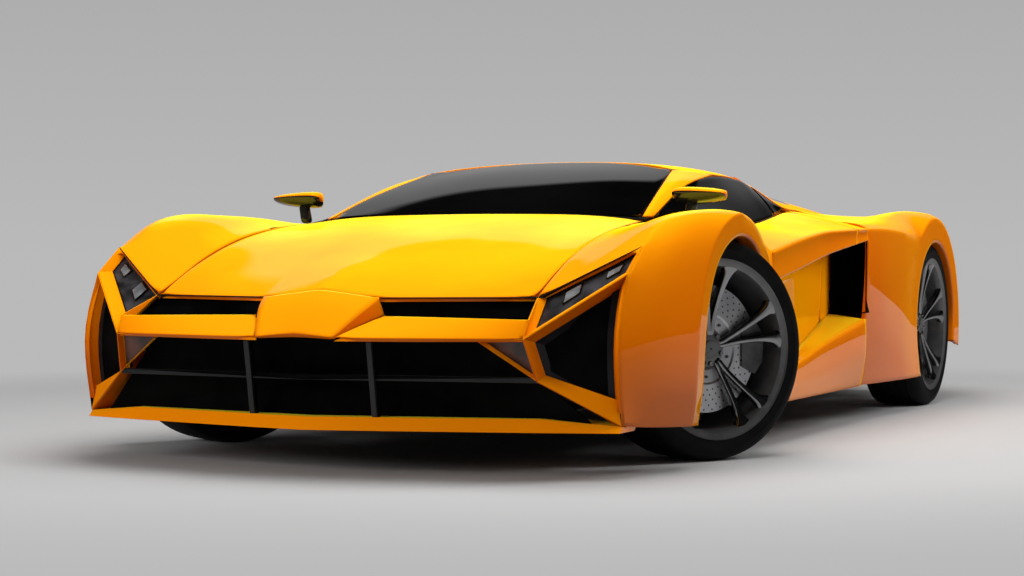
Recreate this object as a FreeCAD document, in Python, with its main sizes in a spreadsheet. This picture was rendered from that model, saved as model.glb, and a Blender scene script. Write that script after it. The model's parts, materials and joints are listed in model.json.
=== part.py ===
"""Electric hypercar: a low two-seat body with scissor doors, hinged front and rear lids,
steered front wheels and a flat battery floor.

Frame: millimetres, +Z up, nose towards -Y, the car's left side on +X, origin on the ground
under the middle of the overall length.
"""
import FreeCAD, Part
import math
import os

Vector = FreeCAD.Vector
doc = FreeCAD.newDocument("hypercar")

# ---------------------------------------------------------------- driving sizes
SIZES = (
    # name, value (mm or degrees)
    ("wheelbase", 2800),
    ("front_overhang", 1045),
    ("rear_overhang", 945),
    ("half_width", 1000),
    ("rear_half_width", 980),
    ("hub_height", 345),
    ("tyre_radius", 345),
    ("tyre_half_width", 120),
    ("rim_radius", 280),
    ("rim_barrel_radius", 250),
    ("front_wheel_inset", 150),
    ("rear_wheel_inset", 135),
    ("lid_inset", 370),
    ("crest_inset", 114),
    ("steer_at_rest", 31),
    ("arch_radius", 353),
    ("front_arch_band", 72),
    ("rear_arch_band", 105),
    ("well_radius", 378),
    ("well_depth", 470),
    ("well_edge_inset", 70),
    ("rail_inset", 410),
    ("liner_thickness", 8),
    ("well_step_height", 645),
    ("panel_gap", 6),
    ("running_gap", 0.3),
    ("floor_height", 125),
    ("floor_thickness", 35),
    ("glass_thickness", 6),
    ("roof_inset", 410),
    ("door_pivot_y", 200),
    ("door_pivot_z", 700),
    ("hinge_pin_radius", 12),
    ("hinge_boss_radius", 45),
    ("lid_pivot_y", 172),
    ("lid_pivot_z", 728),
    ("deck_pivot_z", 702),
    ("disc_radius", 200),
    ("disc_thickness", 30),
    ("hub_radius", 70),
    ("spoke_pairs", 5),
    ("battery_length", 470),
    ("battery_inset", 60),
    ("battery_height", 150),
    ("motor_radius", 130),
    ("plate_hole_spacing", 178),
    ("plate_hole_radius", 3),
    ("tow_hole_radius", 8),
    ("tow_hole_depth", 36),
)

sheet = doc.addObject("Spreadsheet::Sheet", "Sizes")
for row, (name, value) in enumerate(SIZES, start=1):
    sheet.set(f"A{row}", name)
    sheet.set(f"B{row}", str(value))
    sheet.setAlias(f"B{row}", name)
doc.recompute()


def size(name):
    """Value of a named cell of the sheet."""
    return float(sheet.get(name))


HUB_Z = size("hub_height")
GAP = size("panel_gap")
RUN = size("running_gap")
FRONT_Y = size("front_overhang") - (size("wheelbase") + size("front_overhang")
                                    + size("rear_overhang")) / 2
REAR_Y = FRONT_Y + size("wheelbase")
TAIL_Y = REAR_Y + size("rear_overhang")
FRONT_HALF = size("half_width")
REAR_HALF = size("rear_half_width")
FRONT_TRACK = FRONT_HALF - size("front_wheel_inset")
REAR_TRACK = REAR_HALF - size("rear_wheel_inset")
VALLEY_X = FRONT_HALF - size("lid_inset")
CREST_X = FRONT_HALF - size("crest_inset")
RAIL_X = FRONT_TRACK - size("rail_inset")
ROOF_X = FRONT_HALF - size("roof_inset")
LID_EDGE_X = ROOF_X - 24


# ---------------------------------------------------------------- shape helpers
def at_front(x, y, z):
    """Point given from the front axle: x out, y rearward from the axle, z from the ground."""
    return Vector(x, FRONT_Y + y, z)


def at_rear(x, y, z):
    """Point given from the rear axle."""
    return Vector(x, REAR_Y + y, z)


def face(*corners):
    """Flat face with straight edges between its corners."""
    return Part.Face(Part.makePolygon([*corners, corners[0]]))


def is_flat(corners):
    """Whether all corners lie in one plane."""
    normal = sum((p.cross(q) for p, q in zip(corners, corners[1:] + corners[:1])), Vector())
    normal.normalize()
    return all(abs((p - corners[0]).dot(normal)) < 1e-6 for p in corners)


def patch(a, b, c, d):
    """Faces of a four-sided field: one flat face, or two triangles where it is twisted."""
    if is_flat([a, b, c, d]):
        return [face(a, b, c, d)]
    if (a - c).Length < (b - d).Length:
        return [face(a, b, c), face(a, c, d)]
    return [face(b, c, d), face(b, d, a)]


def cap(loop):
    """Faces that close a loop: one flat face, or a fan about its centre."""
    if is_flat(loop):
        return [face(*loop)]
    centre = sum(loop, Vector()) * (1 / len(loop))
    return [face(centre, p, q) for p, q in zip(loop, loop[1:] + loop[:1])]


def solid_of(faces):
    """Closed solid of faces that meet edge to edge."""
    shell = Part.Shell(faces)
    shell.sewShape()
    shape = Part.Solid(shell)
    shape.fix(1e-4, 1e-5, 1e-3)
    if shape.Volume < 0:
        shape.reverse()
    return shape


def stack(loops):
    """Closed solid through loops that have the same number of points."""
    faces = cap(loops[0]) + cap(loops[-1])
    for first, second in zip(loops[:-1], loops[1:]):
        for i in range(len(first)):
            j = (i + 1) % len(first)
            faces += patch(first[i], first[j], second[j], second[i])
    return solid_of(faces)


def panel(top, low):
    """Closed solid between two grids of points, such as a skin's outside and inside."""
    faces = []
    rows, columns = len(top), len(top[0])
    for i in range(rows - 1):
        for j in range(columns - 1):
            for grid in (top, low):
                faces += patch(grid[i][j], grid[i][j + 1], grid[i + 1][j + 1], grid[i + 1][j])
    for i in (0, rows - 1):
        for j in range(columns - 1):
            faces += patch(top[i][j], low[i][j], low[i][j + 1], top[i][j + 1])
    for j in (0, columns - 1):
        for i in range(rows - 1):
            faces += patch(top[i][j], low[i][j], low[i + 1][j], top[i + 1][j])
    return solid_of(faces)


def skin_between(front, back):
    """Closed solid between two loops with the same number of points."""
    return stack([front, back])


def slab(points, depth):
    """Solid plate: a loop of points given thickness along the vector depth."""
    return skin_between(points, [p + depth for p in points])


def inset(points, amount):
    """Loop moved towards its own centre by an amount at each corner."""
    centre = sum(points, Vector()) * (1 / len(points))
    moved = []
    for p in points:
        inward = centre - p
        moved.append(p + inward * (amount / inward.Length))
    return moved


def frame(points, width, depth):
    """Ring-shaped plate: the loop's slab with its middle cut out."""
    inner = [p - depth for p in inset(points, width)]
    return slab(points, depth).cut(slab(inner, depth * 3))


def prism_x(outline, x0, x1):
    """Side-view outline of (y, z) points extruded across from x0 to x1."""
    wire = Part.makePolygon([Vector(x0, y, z) for y, z in outline + outline[:1]])
    return Part.Face(wire).extrude(Vector(x1 - x0, 0, 0))


def box(x0, x1, y0, y1, z0, z1):
    """Box between two corners."""
    return Part.makeBox(x1 - x0, y1 - y0, z1 - z0, Vector(x0, y0, z0))


def cylinder_x(radius, x0, x1, y, z):
    """Cylinder along X."""
    return Part.makeCylinder(radius, x1 - x0, Vector(x0, y, z), Vector(1, 0, 0))


def mirrored(shape):
    """The same shape on the car's other side."""
    return shape.mirror(Vector(0, 0, 0), Vector(1, 0, 0))


def fuse(shapes):
    """One shape of all the given ones."""
    first, rest = shapes[0], list(shapes[1:])
    return first.multiFuse(rest).removeSplitter() if rest else first


def tidy(shape, least=2000):
    """Solids of a shape without crumbs under a least volume."""
    solids = [s for s in shape.Solids if s.Volume > least]
    return solids[0] if len(solids) == 1 else Part.makeCompound(solids)


NODES = {}


def add(name, shape):
    """Sub-part made by Part functions, kept under its own name."""
    feature = doc.addObject("Part::Feature", name)
    feature.Label = name
    feature.Shape = shape
    feature.Placement = FreeCAD.Placement()
    NODES[name] = feature
    return feature


def add_pair(name, shape):
    """Left and right copies as two nodes."""
    add(name + "_left", shape)
    add(name + "_right", mirrored(shape))


def both(shape):
    """Left and right copies as one shape of separate solids."""
    return Part.makeCompound(shape.Solids + mirrored(shape).Solids)


# ---------------------------------------------------------------- landmarks of the nose
# x out, y from the front axle, z up
BEAK_TIP = (126, -1044, 402)
SLOT_IN_TOP = (192, -887, 511)
SLOT_IN_LOW = (209, -891, 461)
SLOT_OUT_TOP = (VALLEY_X + 8, -762, 513)
SLOT_OUT_LOW = (VALLEY_X + 38, -908, 455)
STAR = (VALLEY_X + 33, -938, 401)
LAMP_OUT_LOW = (CREST_X, -708, 581)
LAMP_TOP = (CREST_X + 1, -590, 660)
CHIN_CORNER = (CREST_X - 2, -746, 152)
DRL_IN = (VALLEY_X - 109, -935, 396)
DRL_LOW = (VALLEY_X + 54, -888, 282)
EDGE_HIGH = (CREST_X + 1, -793, 411)
EDGE_LOW = (CREST_X + 1, -772, 267)


def nose(point):
    """Landmark as a point of the frame."""
    return at_front(*point)


# ---------------------------------------------------------------- front fenders
# side-view crown lines of the fender, columns: y from the front axle, z
FENDER_VALLEY = ((-762, 513), (-650, 571), (-530, 615), (-420, 654), (-320, 687), (-130, 720),
                 (90, 742), (210, 746), (490, 744))
FENDER_CREST = ((-590, 660), (-567, 673), (-480, 709), (-361, 755), (-177, 773), (20, 774),
                (200, 768), (330, 754), (490, 722))


def arch_points(radius, x, angles, y0):
    """Points on a circle about a hub: angles in degrees, 0 ahead, 90 up."""
    return [Vector(x, y0 - radius * math.cos(math.radians(a)),
                   HUB_Z + radius * math.sin(math.radians(a))) for a in angles]


def fender_block():
    """Left front fender before its arch is cut: crown inboard, cheek outboard."""
    bottom = 420
    rear = 490
    ring = size("arch_radius") + size("front_arch_band")
    rows = []
    for x, line in ((VALLEY_X, FENDER_VALLEY), (CREST_X, FENDER_CREST)):
        top = [at_front(x, y, z) for y, z in line]
        rows.append(top + [at_front(x, rear, bottom), at_front(x, line[0][0], bottom)])
    crown = stack(rows)
    front_edge = ((-746, 152), (-772, 267), (-793, 411), (-708, 581), (-590, 660))
    crest_loop = [at_front(CREST_X, y, z) for y, z in front_edge + FENDER_CREST[2:]]
    crest_loop += [at_front(CREST_X, rear, 400), at_front(CREST_X, rear, 150)]
    lip_x = FRONT_HALF
    lip_loop = arch_points(ring, lip_x, (-31, -18, 5, 25, 42, 52, 66, 84, 98, 112, 128), FRONT_Y)
    lip_loop += [at_front(lip_x - inward, rear, z) for inward, z in
                 ((42, 644), (32, 400), (45, 150))]
    lip_loop[0] = Vector(lip_x - 40, lip_loop[0].y, 128)
    return crown.fuse(skin_between(crest_loop, lip_loop))


STEP_X = VALLEY_X + 10
MOUTH_X = FRONT_HALF - size("well_edge_inset")
WELL_X = FRONT_HALF - size("well_depth")


def wheel_room(y0, inner_x, step_x, outer_x, grow):
    """Drum that a wheel turns in: full height outboard, lower where it runs under the lid."""
    radius = size("well_radius") + grow
    drum = cylinder_x(radius, step_x - grow, outer_x, y0, HUB_Z)
    if inner_x < step_x:
        low = cylinder_x(radius, inner_x - grow, step_x, y0, HUB_Z)
        low = low.common(box(0, 1100, y0 - 600, y0 + 600, -100, size("well_step_height") + grow))
        drum = drum.fuse(low)
    return drum


def well(y0, inner_x, step_x, arch_from):
    """Cut for a wheel and its liner, with a narrower mouth at the lip."""
    drum = wheel_room(y0, inner_x, step_x, arch_from, size("liner_thickness") + RUN)
    mouth = cylinder_x(size("arch_radius"), arch_from - 1, 1100, y0, HUB_Z)
    below = box(inner_x, 1100, y0 - size("arch_radius") * 0.9, y0 + size("arch_radius") * 0.9,
                -10, HUB_Z - 200)
    return drum.fuse(mouth).fuse(below)


PIVOT_Y = FRONT_Y + size("door_pivot_y")
PIVOT_Z = size("door_pivot_z")
LEAF_X = FRONT_HALF - 240
LEAF_IN_X = FRONT_HALF - 388
LEAF_ROOM_X = LEAF_IN_X - 12


def door_leaf_room():
    """Space that the door's hinge leaf turns in, between the fender and the cowl."""
    radius = size("hinge_boss_radius") + GAP
    drum = cylinder_x(radius, LEAF_ROOM_X, LEAF_X + GAP, PIVOT_Y, PIVOT_Z)
    aft = box(LEAF_ROOM_X, LEAF_X + GAP, PIVOT_Y, FRONT_Y + 600,
              PIVOT_Z - 2 * size("hinge_boss_radius") - GAP, 900)
    above = box(LEAF_ROOM_X, LEAF_X + GAP, PIVOT_Y - radius, PIVOT_Y, PIVOT_Z, 900)
    return drum.fuse(aft).fuse(above)


fender = fender_block().cut(well(FRONT_Y, WELL_X, STEP_X, MOUTH_X))
fender = tidy(fender.cut(door_leaf_room()))
hinge_pin = cylinder_x(size("hinge_pin_radius"), LEAF_IN_X, LEAF_X + GAP + 20, PIVOT_Y, PIVOT_Z)
fender = fuse([fender, hinge_pin])
add_pair("front_fender", fender)

# ---------------------------------------------------------------- nose frame
INWARD = Vector(0, 34, -4)
LAMP_LOOP = [nose(p) for p in (SLOT_OUT_TOP, LAMP_TOP, LAMP_OUT_LOW, STAR)]
INTAKE_LOOP = [nose(p) for p in (LAMP_OUT_LOW, EDGE_HIGH, EDGE_LOW, CHIN_CORNER, DRL_LOW, STAR)]
DRL_LOOP = [nose(p) for p in (DRL_IN, STAR, DRL_LOW)]


def beak():
    """Pointed nose between the two air slots."""
    back = [(-192, -887, 511), (0, -887, 535), (192, -887, 511), (209, -891, 461),
            (-209, -891, 461)]
    tip = [(-126, -1044, 402), (0, -1044, 414), (126, -1044, 402), (120, -1036, 384),
           (-120, -1036, 384)]
    return skin_between([nose(p) for p in back], [nose(p) for p in tip])


def nose_frame():
    """Ribs round the lamps, side intakes and running lamps, with the shelf above the grille."""
    under_beak = [nose(p) for p in ((60, -1034, 400), (60, -892, 460))]
    shelf = slab([under_beak[0], nose(BEAK_TIP), nose(STAR), nose(SLOT_OUT_LOW),
                  nose(SLOT_IN_LOW), under_beak[1]], Vector(0, 16, -20))
    half = [frame(LAMP_LOOP, 20, INWARD), frame(INTAKE_LOOP, 26, INWARD),
            frame(DRL_LOOP, 16, INWARD), shelf]
    return half


ribs = nose_frame()
ribs += [mirrored(r) for r in ribs] + [beak()]
fender_pair = [fender, mirrored(fender)]
fascia = fuse(ribs)
for part in fender_pair:
    fascia = fascia.cut(part)
fascia = tidy(fascia)
add("nose_frame", fascia)

lens_depth = Vector(0, 12, -2)
lamps = slab([p + Vector(0, 6, 0) for p in inset(LAMP_LOOP, 16)], lens_depth)
add("headlamps", both(tidy(lamps.cut(fascia).cut(fender))))
running = slab([p + Vector(0, 6, 0) for p in inset(DRL_LOOP, 10)], lens_depth)
add("running_lamps", both(tidy(running.cut(fascia))))
mesh = slab([p + Vector(0, 20, 0) for p in inset(INTAKE_LOOP, 12)], Vector(0, 8, 0))
add("side_intakes", both(tidy(mesh.cut(fascia).cut(fender))))

# ---------------------------------------------------------------- chin and grille
CHIN_HALF = ((CREST_X - 2, -746), (VALLEY_X + 34, -816), (200, -934))
CHIN_TOP = (*[(-x, y) for x, y in CHIN_HALF], (0, -975), *reversed(CHIN_HALF))


def chin():
    """Low lip across the nose, pointed in plan."""
    top = [at_front(x, y, 172 if abs(x) < CHIN_HALF[0][0] else 152) for x, y in CHIN_TOP]
    low = [at_front(x, y - 18, 134) for x, y in CHIN_TOP]
    back_low = [p + Vector(0, 120, 0) for p in low]
    back_top = [Vector(p.x, p.y + 120, p.z) for p in top]
    solids = []
    for i in range(len(top) - 1):
        a = [low[i], top[i], back_top[i], back_low[i]]
        b = [low[i + 1], top[i + 1], back_top[i + 1], back_low[i + 1]]
        solids.append(skin_between(a, b))
    return fuse(solids)


lip = tidy(chin().cut(fascia).cut(fender_pair[0]).cut(fender_pair[1]))
add("chin_lip", lip)


def bar(points, width, depth):
    """Flat bar through points, upright in section."""
    up = Vector(0, 0, width / 2)
    pieces = []
    for a, b in zip(points[:-1], points[1:]):
        pieces.append(slab([a - up, b - up, b + up, a + up], depth))
    return pieces


def grille():
    """Two upright bars, one cross bar and the mesh behind them."""
    cross = [at_front(x, y, 285) for x, y in
             ((-VALLEY_X - 54, -880), (0, -965), (VALLEY_X + 54, -880))]
    parts = bar(cross, 14, Vector(0, 24, 0))
    for side in (-1, 1):
        foot = at_front(side * 200, -930, 172)
        head = at_front(side * 200, -966, 388)
        across = Vector(7, 0, 0)
        parts.append(slab([foot - across, foot + across, head + across, head - across],
                          Vector(0, 24, 0)))
    mesh_loop = [at_front(x, y, z) for x, y, z in
                 ((86 - CREST_X, -770, 160), (0, -925, 160), (CREST_X - 86, -770, 160),
                  (VALLEY_X - 70, -890, 392), (0, -930, 392), (70 - VALLEY_X, -890, 392))]
    parts.append(slab(mesh_loop, Vector(0, 10, 0)))
    for side in (-1, 1):
        slot = [at_front(side * x, y, z) for x, y, z in
                ((190, -850, 440), (VALLEY_X + 20, -740, 440), (VALLEY_X + 10, -730, 496),
                 (185, -846, 496))]
        parts.append(slab(slot, Vector(0, 10, 0)))
    return parts


grille_shape = fuse(grille())
for part in [fascia, lip, *fender_pair]:
    grille_shape = grille_shape.cut(part)
add("front_grille", tidy(grille_shape))

# ---------------------------------------------------------------- front lid
# half cross-sections, columns: x, y from the front axle, z
LID_ROWS = (
    ((0, -880, 535), (190, -880, 513), (400, -824, 515), (VALLEY_X - 6, -757, 516)),
    ((0, -600, 628), (215, -600, 612), (410, -600, 596), (VALLEY_X - 6, -600, 592)),
    ((0, -300, 705), (250, -300, 700), (430, -300, 690), (VALLEY_X - 8, -300, 690)),
    ((0, 0, 755), (285, 0, 752), (450, 0, 742), (VALLEY_X - 14, 0, 733)),
    ((0, 185, 775), (300, 185, 772), (460, 185, 765), (VALLEY_X - 24, 185, 745)),
)


def mirrored_row(row, place):
    """Points of a whole cross-section from the middle outwards on both sides."""
    right = [place(-x, y, z) for x, y, z in reversed(row[1:])]
    return right + [place(x, y, z) for x, y, z in row]


def skin(rows, places, thickness, lean=0, edge=None):
    """Panel under half cross-sections; lean and edge slope and thin its front edge."""
    top = [mirrored_row(row, place) for row, place in zip(rows, places)]
    low = []
    for i, row in enumerate(top):
        drop = Vector(0, 0, -thickness)
        if i == 0:
            drop = Vector(0, lean, -(edge or thickness))
        low.append([p + drop for p in row])
    return panel(top, low)


def front_lid():
    """Bonnet panel with its raised middle."""
    return skin(LID_ROWS, [at_front] * len(LID_ROWS), 28, 4, 7)


LID_Y = FRONT_Y + size("lid_pivot_y")
LID_Z = size("lid_pivot_z")
eye = cylinder_x(16, 420, 460, LID_Y, LID_Z)
eyes = [eye, mirrored(eye)]
pin_hole = cylinder_x(6 + RUN, 400, 480, LID_Y, LID_Z)
lug_room = cylinder_x(24, 460 + RUN, 478, LID_Y, LID_Z)
lid = fuse([front_lid()] + eyes)
for cutter in (pin_hole, lug_room):
    lid = lid.cut(cutter).cut(mirrored(cutter))
add("front_lid", lid)

# ---------------------------------------------------------------- cowl and windscreen
COWL_X = VALLEY_X - 32


def cowl():
    """Fixed panel between the lid and the windscreen, carrying the lid's hinge pins."""
    panel = stack([[Vector(x, FRONT_Y + y, z) for y, z in
                   ((191, top), (300, top + 8), (300, top - 60), (191, top - 60))]
                  for x, top in ((-COWL_X, 752), (-300, 772), (0, 776), (300, 772), (COWL_X, 752))])
    panel = panel.cut(cylinder_x(56, -COWL_X - 2, COWL_X + 2, LID_Y, LID_Z))
    pins = []
    for x0 in (410, -470):
        pin = cylinder_x(6, x0, x0 + 60, LID_Y, LID_Z)
        pins.append(pin)
        lug_x = x0 + 52 if x0 > 0 else x0 - 2
        side_view = ((-10, -16), (-10, 0), (-5, 7), (5, 7), (10, 0), (12, -8), (64, -8), (64, -16))
        pins.append(prism_x([(LID_Y + y, LID_Z + z) for y, z in side_view], lug_x, lug_x + 10))
    return fuse([panel] + pins)


cowl_shape = cowl()
add("cowl", cowl_shape)

# columns: x, y from the front axle, z; from the foot to the head of the glass
SCREEN_FOOT = ((0, 200, 778), (300, 202, 776), (ROOF_X - 30, 215, 764))
SCREEN_HEAD = ((0, 950, 975), (250, 925, 968), (ROOF_X - 122, 830, 942))


def screen():
    """Windscreen: one curved pane."""
    middle = [((a[0] + b[0]) / 2, (a[1] + b[1]) / 2 - 12, (a[2] + b[2]) / 2 + 22)
              for a, b in zip(SCREEN_FOOT, SCREEN_HEAD)]
    return skin((SCREEN_FOOT, middle, SCREEN_HEAD), [at_front] * 3,
                size("glass_thickness") * 1.1)


screen_shape = screen().cut(cowl_shape)
add("windscreen", tidy(screen_shape))

# ---------------------------------------------------------------- roof
# half cross-sections, columns: x, y, z; the first is given from the front axle, the others
# from the rear axle
ROOF_PLACES = (at_front, at_rear, at_rear, at_rear, at_rear)
ROOF_ROWS = (
    ((0, 950, 977), (250, 925, 970), (ROOF_X - 120, 830, 944), (ROOF_X, 810, 915)),
    ((0, -1550, 990), (270, -1550, 979), (ROOF_X - 100, -1550, 952), (ROOF_X, -1550, 924)),
    ((0, -1370, 996), (300, -1370, 982), (ROOF_X - 90, -1370, 944), (ROOF_X, -1370, 898)),
    ((0, -950, 1000), (300, -950, 982), (ROOF_X - 110, -950, 895), (LID_EDGE_X, -950, 832)),
    ((0, -680, 992), (300, -680, 958), (ROOF_X - 120, -680, 852), (LID_EDGE_X, -680, 816)),
)
roof_skin = skin(ROOF_ROWS, ROOF_PLACES, 45)
pillar = slab([at_front(x, y, z) for x, y, z in
               ((ROOF_X - 30, 215, 766), (ROOF_X + 16, 225, 760), (ROOF_X, 812, 914),
                (ROOF_X - 120, 832, 943))],
              Vector(0, 20, -30))
roof = fuse([roof_skin, pillar, mirrored(pillar)]).cut(cowl_shape).cut(screen_shape)
add("roof", tidy(roof))

# ---------------------------------------------------------------- body sides
# cross-sections of the door and body side, columns: y, then how far inside the body's half
# width the panel, the ledge and its crease lie, ledge crease z, scoop z, shoulder z, and how
# far inside the shoulder lies
DOOR_FRONT_Y = FRONT_Y + 500
DOOR_LOW_Y = REAR_Y - 1380
DOOR_TOP_Y = REAR_Y - 1260
SCOOP_Y = REAR_Y - 1150
SIDE_ROWS = (
    (DOOR_FRONT_Y - 10, 55, 55, 45, 226, 548, 645, 50),
    (DOOR_FRONT_Y + 330, 82, 72, 48, 267, 592, 690, 50),
    (REAR_Y - 1650, 120, 115, 45, 326, 640, 722, 45),
    (SCOOP_Y, 178, 168, 30, 396, 694, 735, 25),
)
BELT_Z = 745
DOOR_INNER_X = FRONT_HALF - 300
GLASS_FOOT_X = FRONT_HALF - 278
SEAM_LOW_Z = 385
SEAM_FRONT_Z = 245


def ledge_z(y):
    """Height of the sill's ledge, which keeps its gap under the door's lower seam."""
    slope = (SEAM_LOW_Z - SEAM_FRONT_Z) / (DOOR_LOW_Y - DOOR_FRONT_Y)
    return SEAM_FRONT_Z + slope * (y - DOOR_FRONT_Y) - GAP


def side_body(rows):
    """Solid of the body side from the front fender to the scoop, without seams."""
    loops = []
    for y, panel_in, _, _, _, scoop_z, shoulder_z, shoulder_in in rows:
        panel_x = FRONT_HALF - panel_in
        shoulder_x = FRONT_HALF - shoulder_in
        outline = ((DOOR_INNER_X, 180), (panel_x, 180), (panel_x - 4, scoop_z - 28),
                   (shoulder_x + 4, scoop_z), (shoulder_x, shoulder_z),
                   (GLASS_FOOT_X, BELT_Z), (DOOR_INNER_X, BELT_Z))
        loops.append([Vector(x, y, z) for x, z in outline])
    return stack(loops)


# the body side runs this far into the rear quarter, just inside the quarter's own faces
LAP_ROW = (SCOOP_Y + 25, 178, 168, 36, 396, 700, 728, 34)


def door_outline(grow):
    """Side view of the door below its glass, grown by a gap on every side."""
    return [(DOOR_FRONT_Y - grow, SEAM_FRONT_Z - grow), (DOOR_LOW_Y + grow, SEAM_LOW_Z - grow),
            (DOOR_TOP_Y + grow, BELT_Z), (DOOR_TOP_Y + grow, BELT_Z + 200),
            (DOOR_FRONT_Y - grow, BELT_Z + 200)]


def door():
    """Left door: thick skin, hinge leaf and boss at its front."""
    skin_part = side_body(SIDE_ROWS).common(prism_x(door_outline(0), 600, 1100))
    radius = size("hinge_boss_radius")
    boss = cylinder_x(radius, LEAF_IN_X, LEAF_X, PIVOT_Y, PIVOT_Z)
    leaf = prism_x([(PIVOT_Y, PIVOT_Z + radius), (DOOR_FRONT_Y + 5, BELT_Z),
                    (DOOR_FRONT_Y + 5, PIVOT_Z - 2 * radius), (PIVOT_Y, PIVOT_Z - radius)],
                   LEAF_IN_X, LEAF_X)
    hole = cylinder_x(size("hinge_pin_radius") + RUN, LEAF_ROOM_X, LEAF_X + 40, PIVOT_Y,
                      PIVOT_Z)
    return fuse([skin_part, boss, leaf]).cut(hole)


side_shape = side_body(SIDE_ROWS + (LAP_ROW,))
door_shape = tidy(door())
add_pair("door", door_shape)

# side glass corners, columns: x, y, z
GLASS_LOOP = [Vector(*p) for p in (
    (LEAF_IN_X + 8, PIVOT_Y + 45, BELT_Z + RUN), (ROOF_X + 14, FRONT_Y + 805, 918),
    (ROOF_X + 14, FRONT_Y + 1090, 927), (ROOF_X + 14, REAR_Y - 1410, 900),
    (GLASS_FOOT_X - 4, DOOR_TOP_Y - 6, BELT_Z + RUN))]
door_glass = slab(GLASS_LOOP, Vector(-5, 0, -3))
door_glass = door_glass.cut(box(500, 800, -3000, 3000, 0, BELT_Z + RUN))
add_pair("door_glass", tidy(door_glass))


def mirror():
    """Winged door mirror on a short arm."""
    y = FRONT_Y + 330
    foot = [Vector(GLASS_FOOT_X + dx, y + dy, BELT_Z + RUN)
            for dx, dy in ((-18, -25), (18, -25), (18, 25), (-18, 25))]
    arm_top = [p + Vector(10, 0, 62) for p in foot]
    arm = skin_between(foot, arm_top)
    inner = [Vector(GLASS_FOOT_X - 54, y + dy, z)
             for dy, z in ((-34, 806), (46, 800), (46, 862), (-20, 858))]
    outer = [Vector(GLASS_FOOT_X + 120, y - 15 + dy, z)
             for dy, z in ((-18, 822), (40, 812), (40, 848), (-12, 840))]
    return fuse([arm, skin_between(inner, outer)])


add_pair("door_mirror", mirror())


def sill():
    """Left sill with its rising ledge."""
    loops = []
    for y, _, ledge_in, crease_in, crease_z, *_ in SIDE_ROWS:
        outline = ((DOOR_INNER_X, 140), (FRONT_HALF - 50, 140),
                   (FRONT_HALF - crease_in, crease_z), (FRONT_HALF - ledge_in, ledge_z(y)),
                   (DOOR_INNER_X, ledge_z(y)))
        loops.append([Vector(x, y, z) for x, z in outline])
    return stack(loops)


sill_shape = sill()
add("side_sills", both(sill_shape))

# ---------------------------------------------------------------- rear quarters
# side-view lines of the quarter's top, columns: y from the rear axle, z at the lid's edge,
# z in the valley, z at the crest
QUARTER_ROWS = (
    (-1365, 896, 748, 738), (-1150, 864, 748, 738), (-1000, 840, 755, 748), (-700, 817, 775, 780),
    (-450, 812, 790, 818), (-200, 808, 800, 840), (100, 806, 790, 825), (500, 790, 762, 752),
    (850, 752, 733, 668),
)
BUTTRESS_X = GLASS_FOOT_X
CREST_REAR_X = REAR_HALF - 110
# inside the tyre, and no further in than the suspension arms reach freely
REAR_WELL_X = min(REAR_TRACK - 205, RAIL_X + 200)


def quarter():
    """Left rear quarter: buttress, crest, flank with the scoop, and the rear arch."""
    skin_depth = 60
    top = [[at_rear(LID_EDGE_X, y, a), at_rear(BUTTRESS_X, y, b)] for y, a, b, _ in QUARTER_ROWS]
    low = [[p - Vector(0, 0, skin_depth) for p in row] for row in top]
    buttress = panel(top, low)
    loops = []
    for x, column in ((BUTTRESS_X - 20, 2), (CREST_REAR_X, 3)):
        line = [at_rear(x, row[0], row[column]) for row in QUARTER_ROWS[1:]]
        if column == 3:
            line[-1] = at_rear(x, 740, 640)
        loops.append(line + [at_rear(x, line[-1].y - REAR_Y, 300), at_rear(x, -1150, 140)])
    crown = stack(loops)
    ring = size("arch_radius") + size("rear_arch_band")
    side_x = REAR_HALF
    crest_loop = [at_rear(CREST_REAR_X, y, z) for y, z in
                  ((-1150, 738), (-700, 780), (-450, 818), (-200, 840), (100, 825), (430, 765),
                   (640, 690), (740, 560), (740, 320), (-283, 135), (-1150, 140))]
    lip_loop = [at_rear(side_x, y, z) for y, z in ((-1150, 735), (-700, 750), (-350, 772),
                                                   (-130, 796))]
    lip_loop += arch_points(ring, side_x, (98, 130, 150, 170, 193), REAR_Y)
    lip_loop += [at_rear(955, -283, 131), at_rear(960, -1150, 140)]
    flank = skin_between(crest_loop, lip_loop)
    return fuse([buttress, crown, flank])


quarter_shape = quarter()
SCOOP_MOUTH = ((REAR_HALF - 138, 440), (REAR_HALF - 22, 430), (REAR_HALF - 18, 690),
               (REAR_HALF - 165, 628))
scoop_room = [[Vector(x, y, z) for x, z in SCOOP_MOUTH]
              for y in (SCOOP_Y - 5, SCOOP_Y + 420)]
quarter_shape = quarter_shape.cut(stack(scoop_room))
quarter_shape = quarter_shape.cut(well(REAR_Y, REAR_WELL_X, REAR_WELL_X, REAR_HALF - 55))
quarter_shape = quarter_shape.cut(prism_x(door_outline(GAP), 500, 1100))
side_rear = side_shape.cut(prism_x(door_outline(GAP), 500, 1100))
side_rear = side_rear.cut(box(0, 1100, -3000, DOOR_LOW_Y, 0, 900))
quarter_shape = quarter_shape.fuse(side_rear).cut(sill_shape).cut(NODES["roof"].Shape)
quarter_glass_loop = [Vector(*p) for p in (
    (602, REAR_Y - 1395, 900), (602, REAR_Y - 1340, 894), (GLASS_FOOT_X - 72, REAR_Y - 1215, 812),
    (GLASS_FOOT_X - 22, REAR_Y - 1235, 778), (GLASS_FOOT_X - 6, DOOR_TOP_Y + 16, 754))]
quarter_pane = slab(quarter_glass_loop, Vector(-14, 0, -16))
quarter_pane = quarter_pane.cut(prism_x(door_outline(GAP), 500, 1100))
quarter_shape = quarter_shape.cut(quarter_pane)
quarter_shape = tidy(quarter_shape)
add_pair("rear_quarter", quarter_shape)
add("quarter_glass", both(tidy(quarter_pane)))
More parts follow.
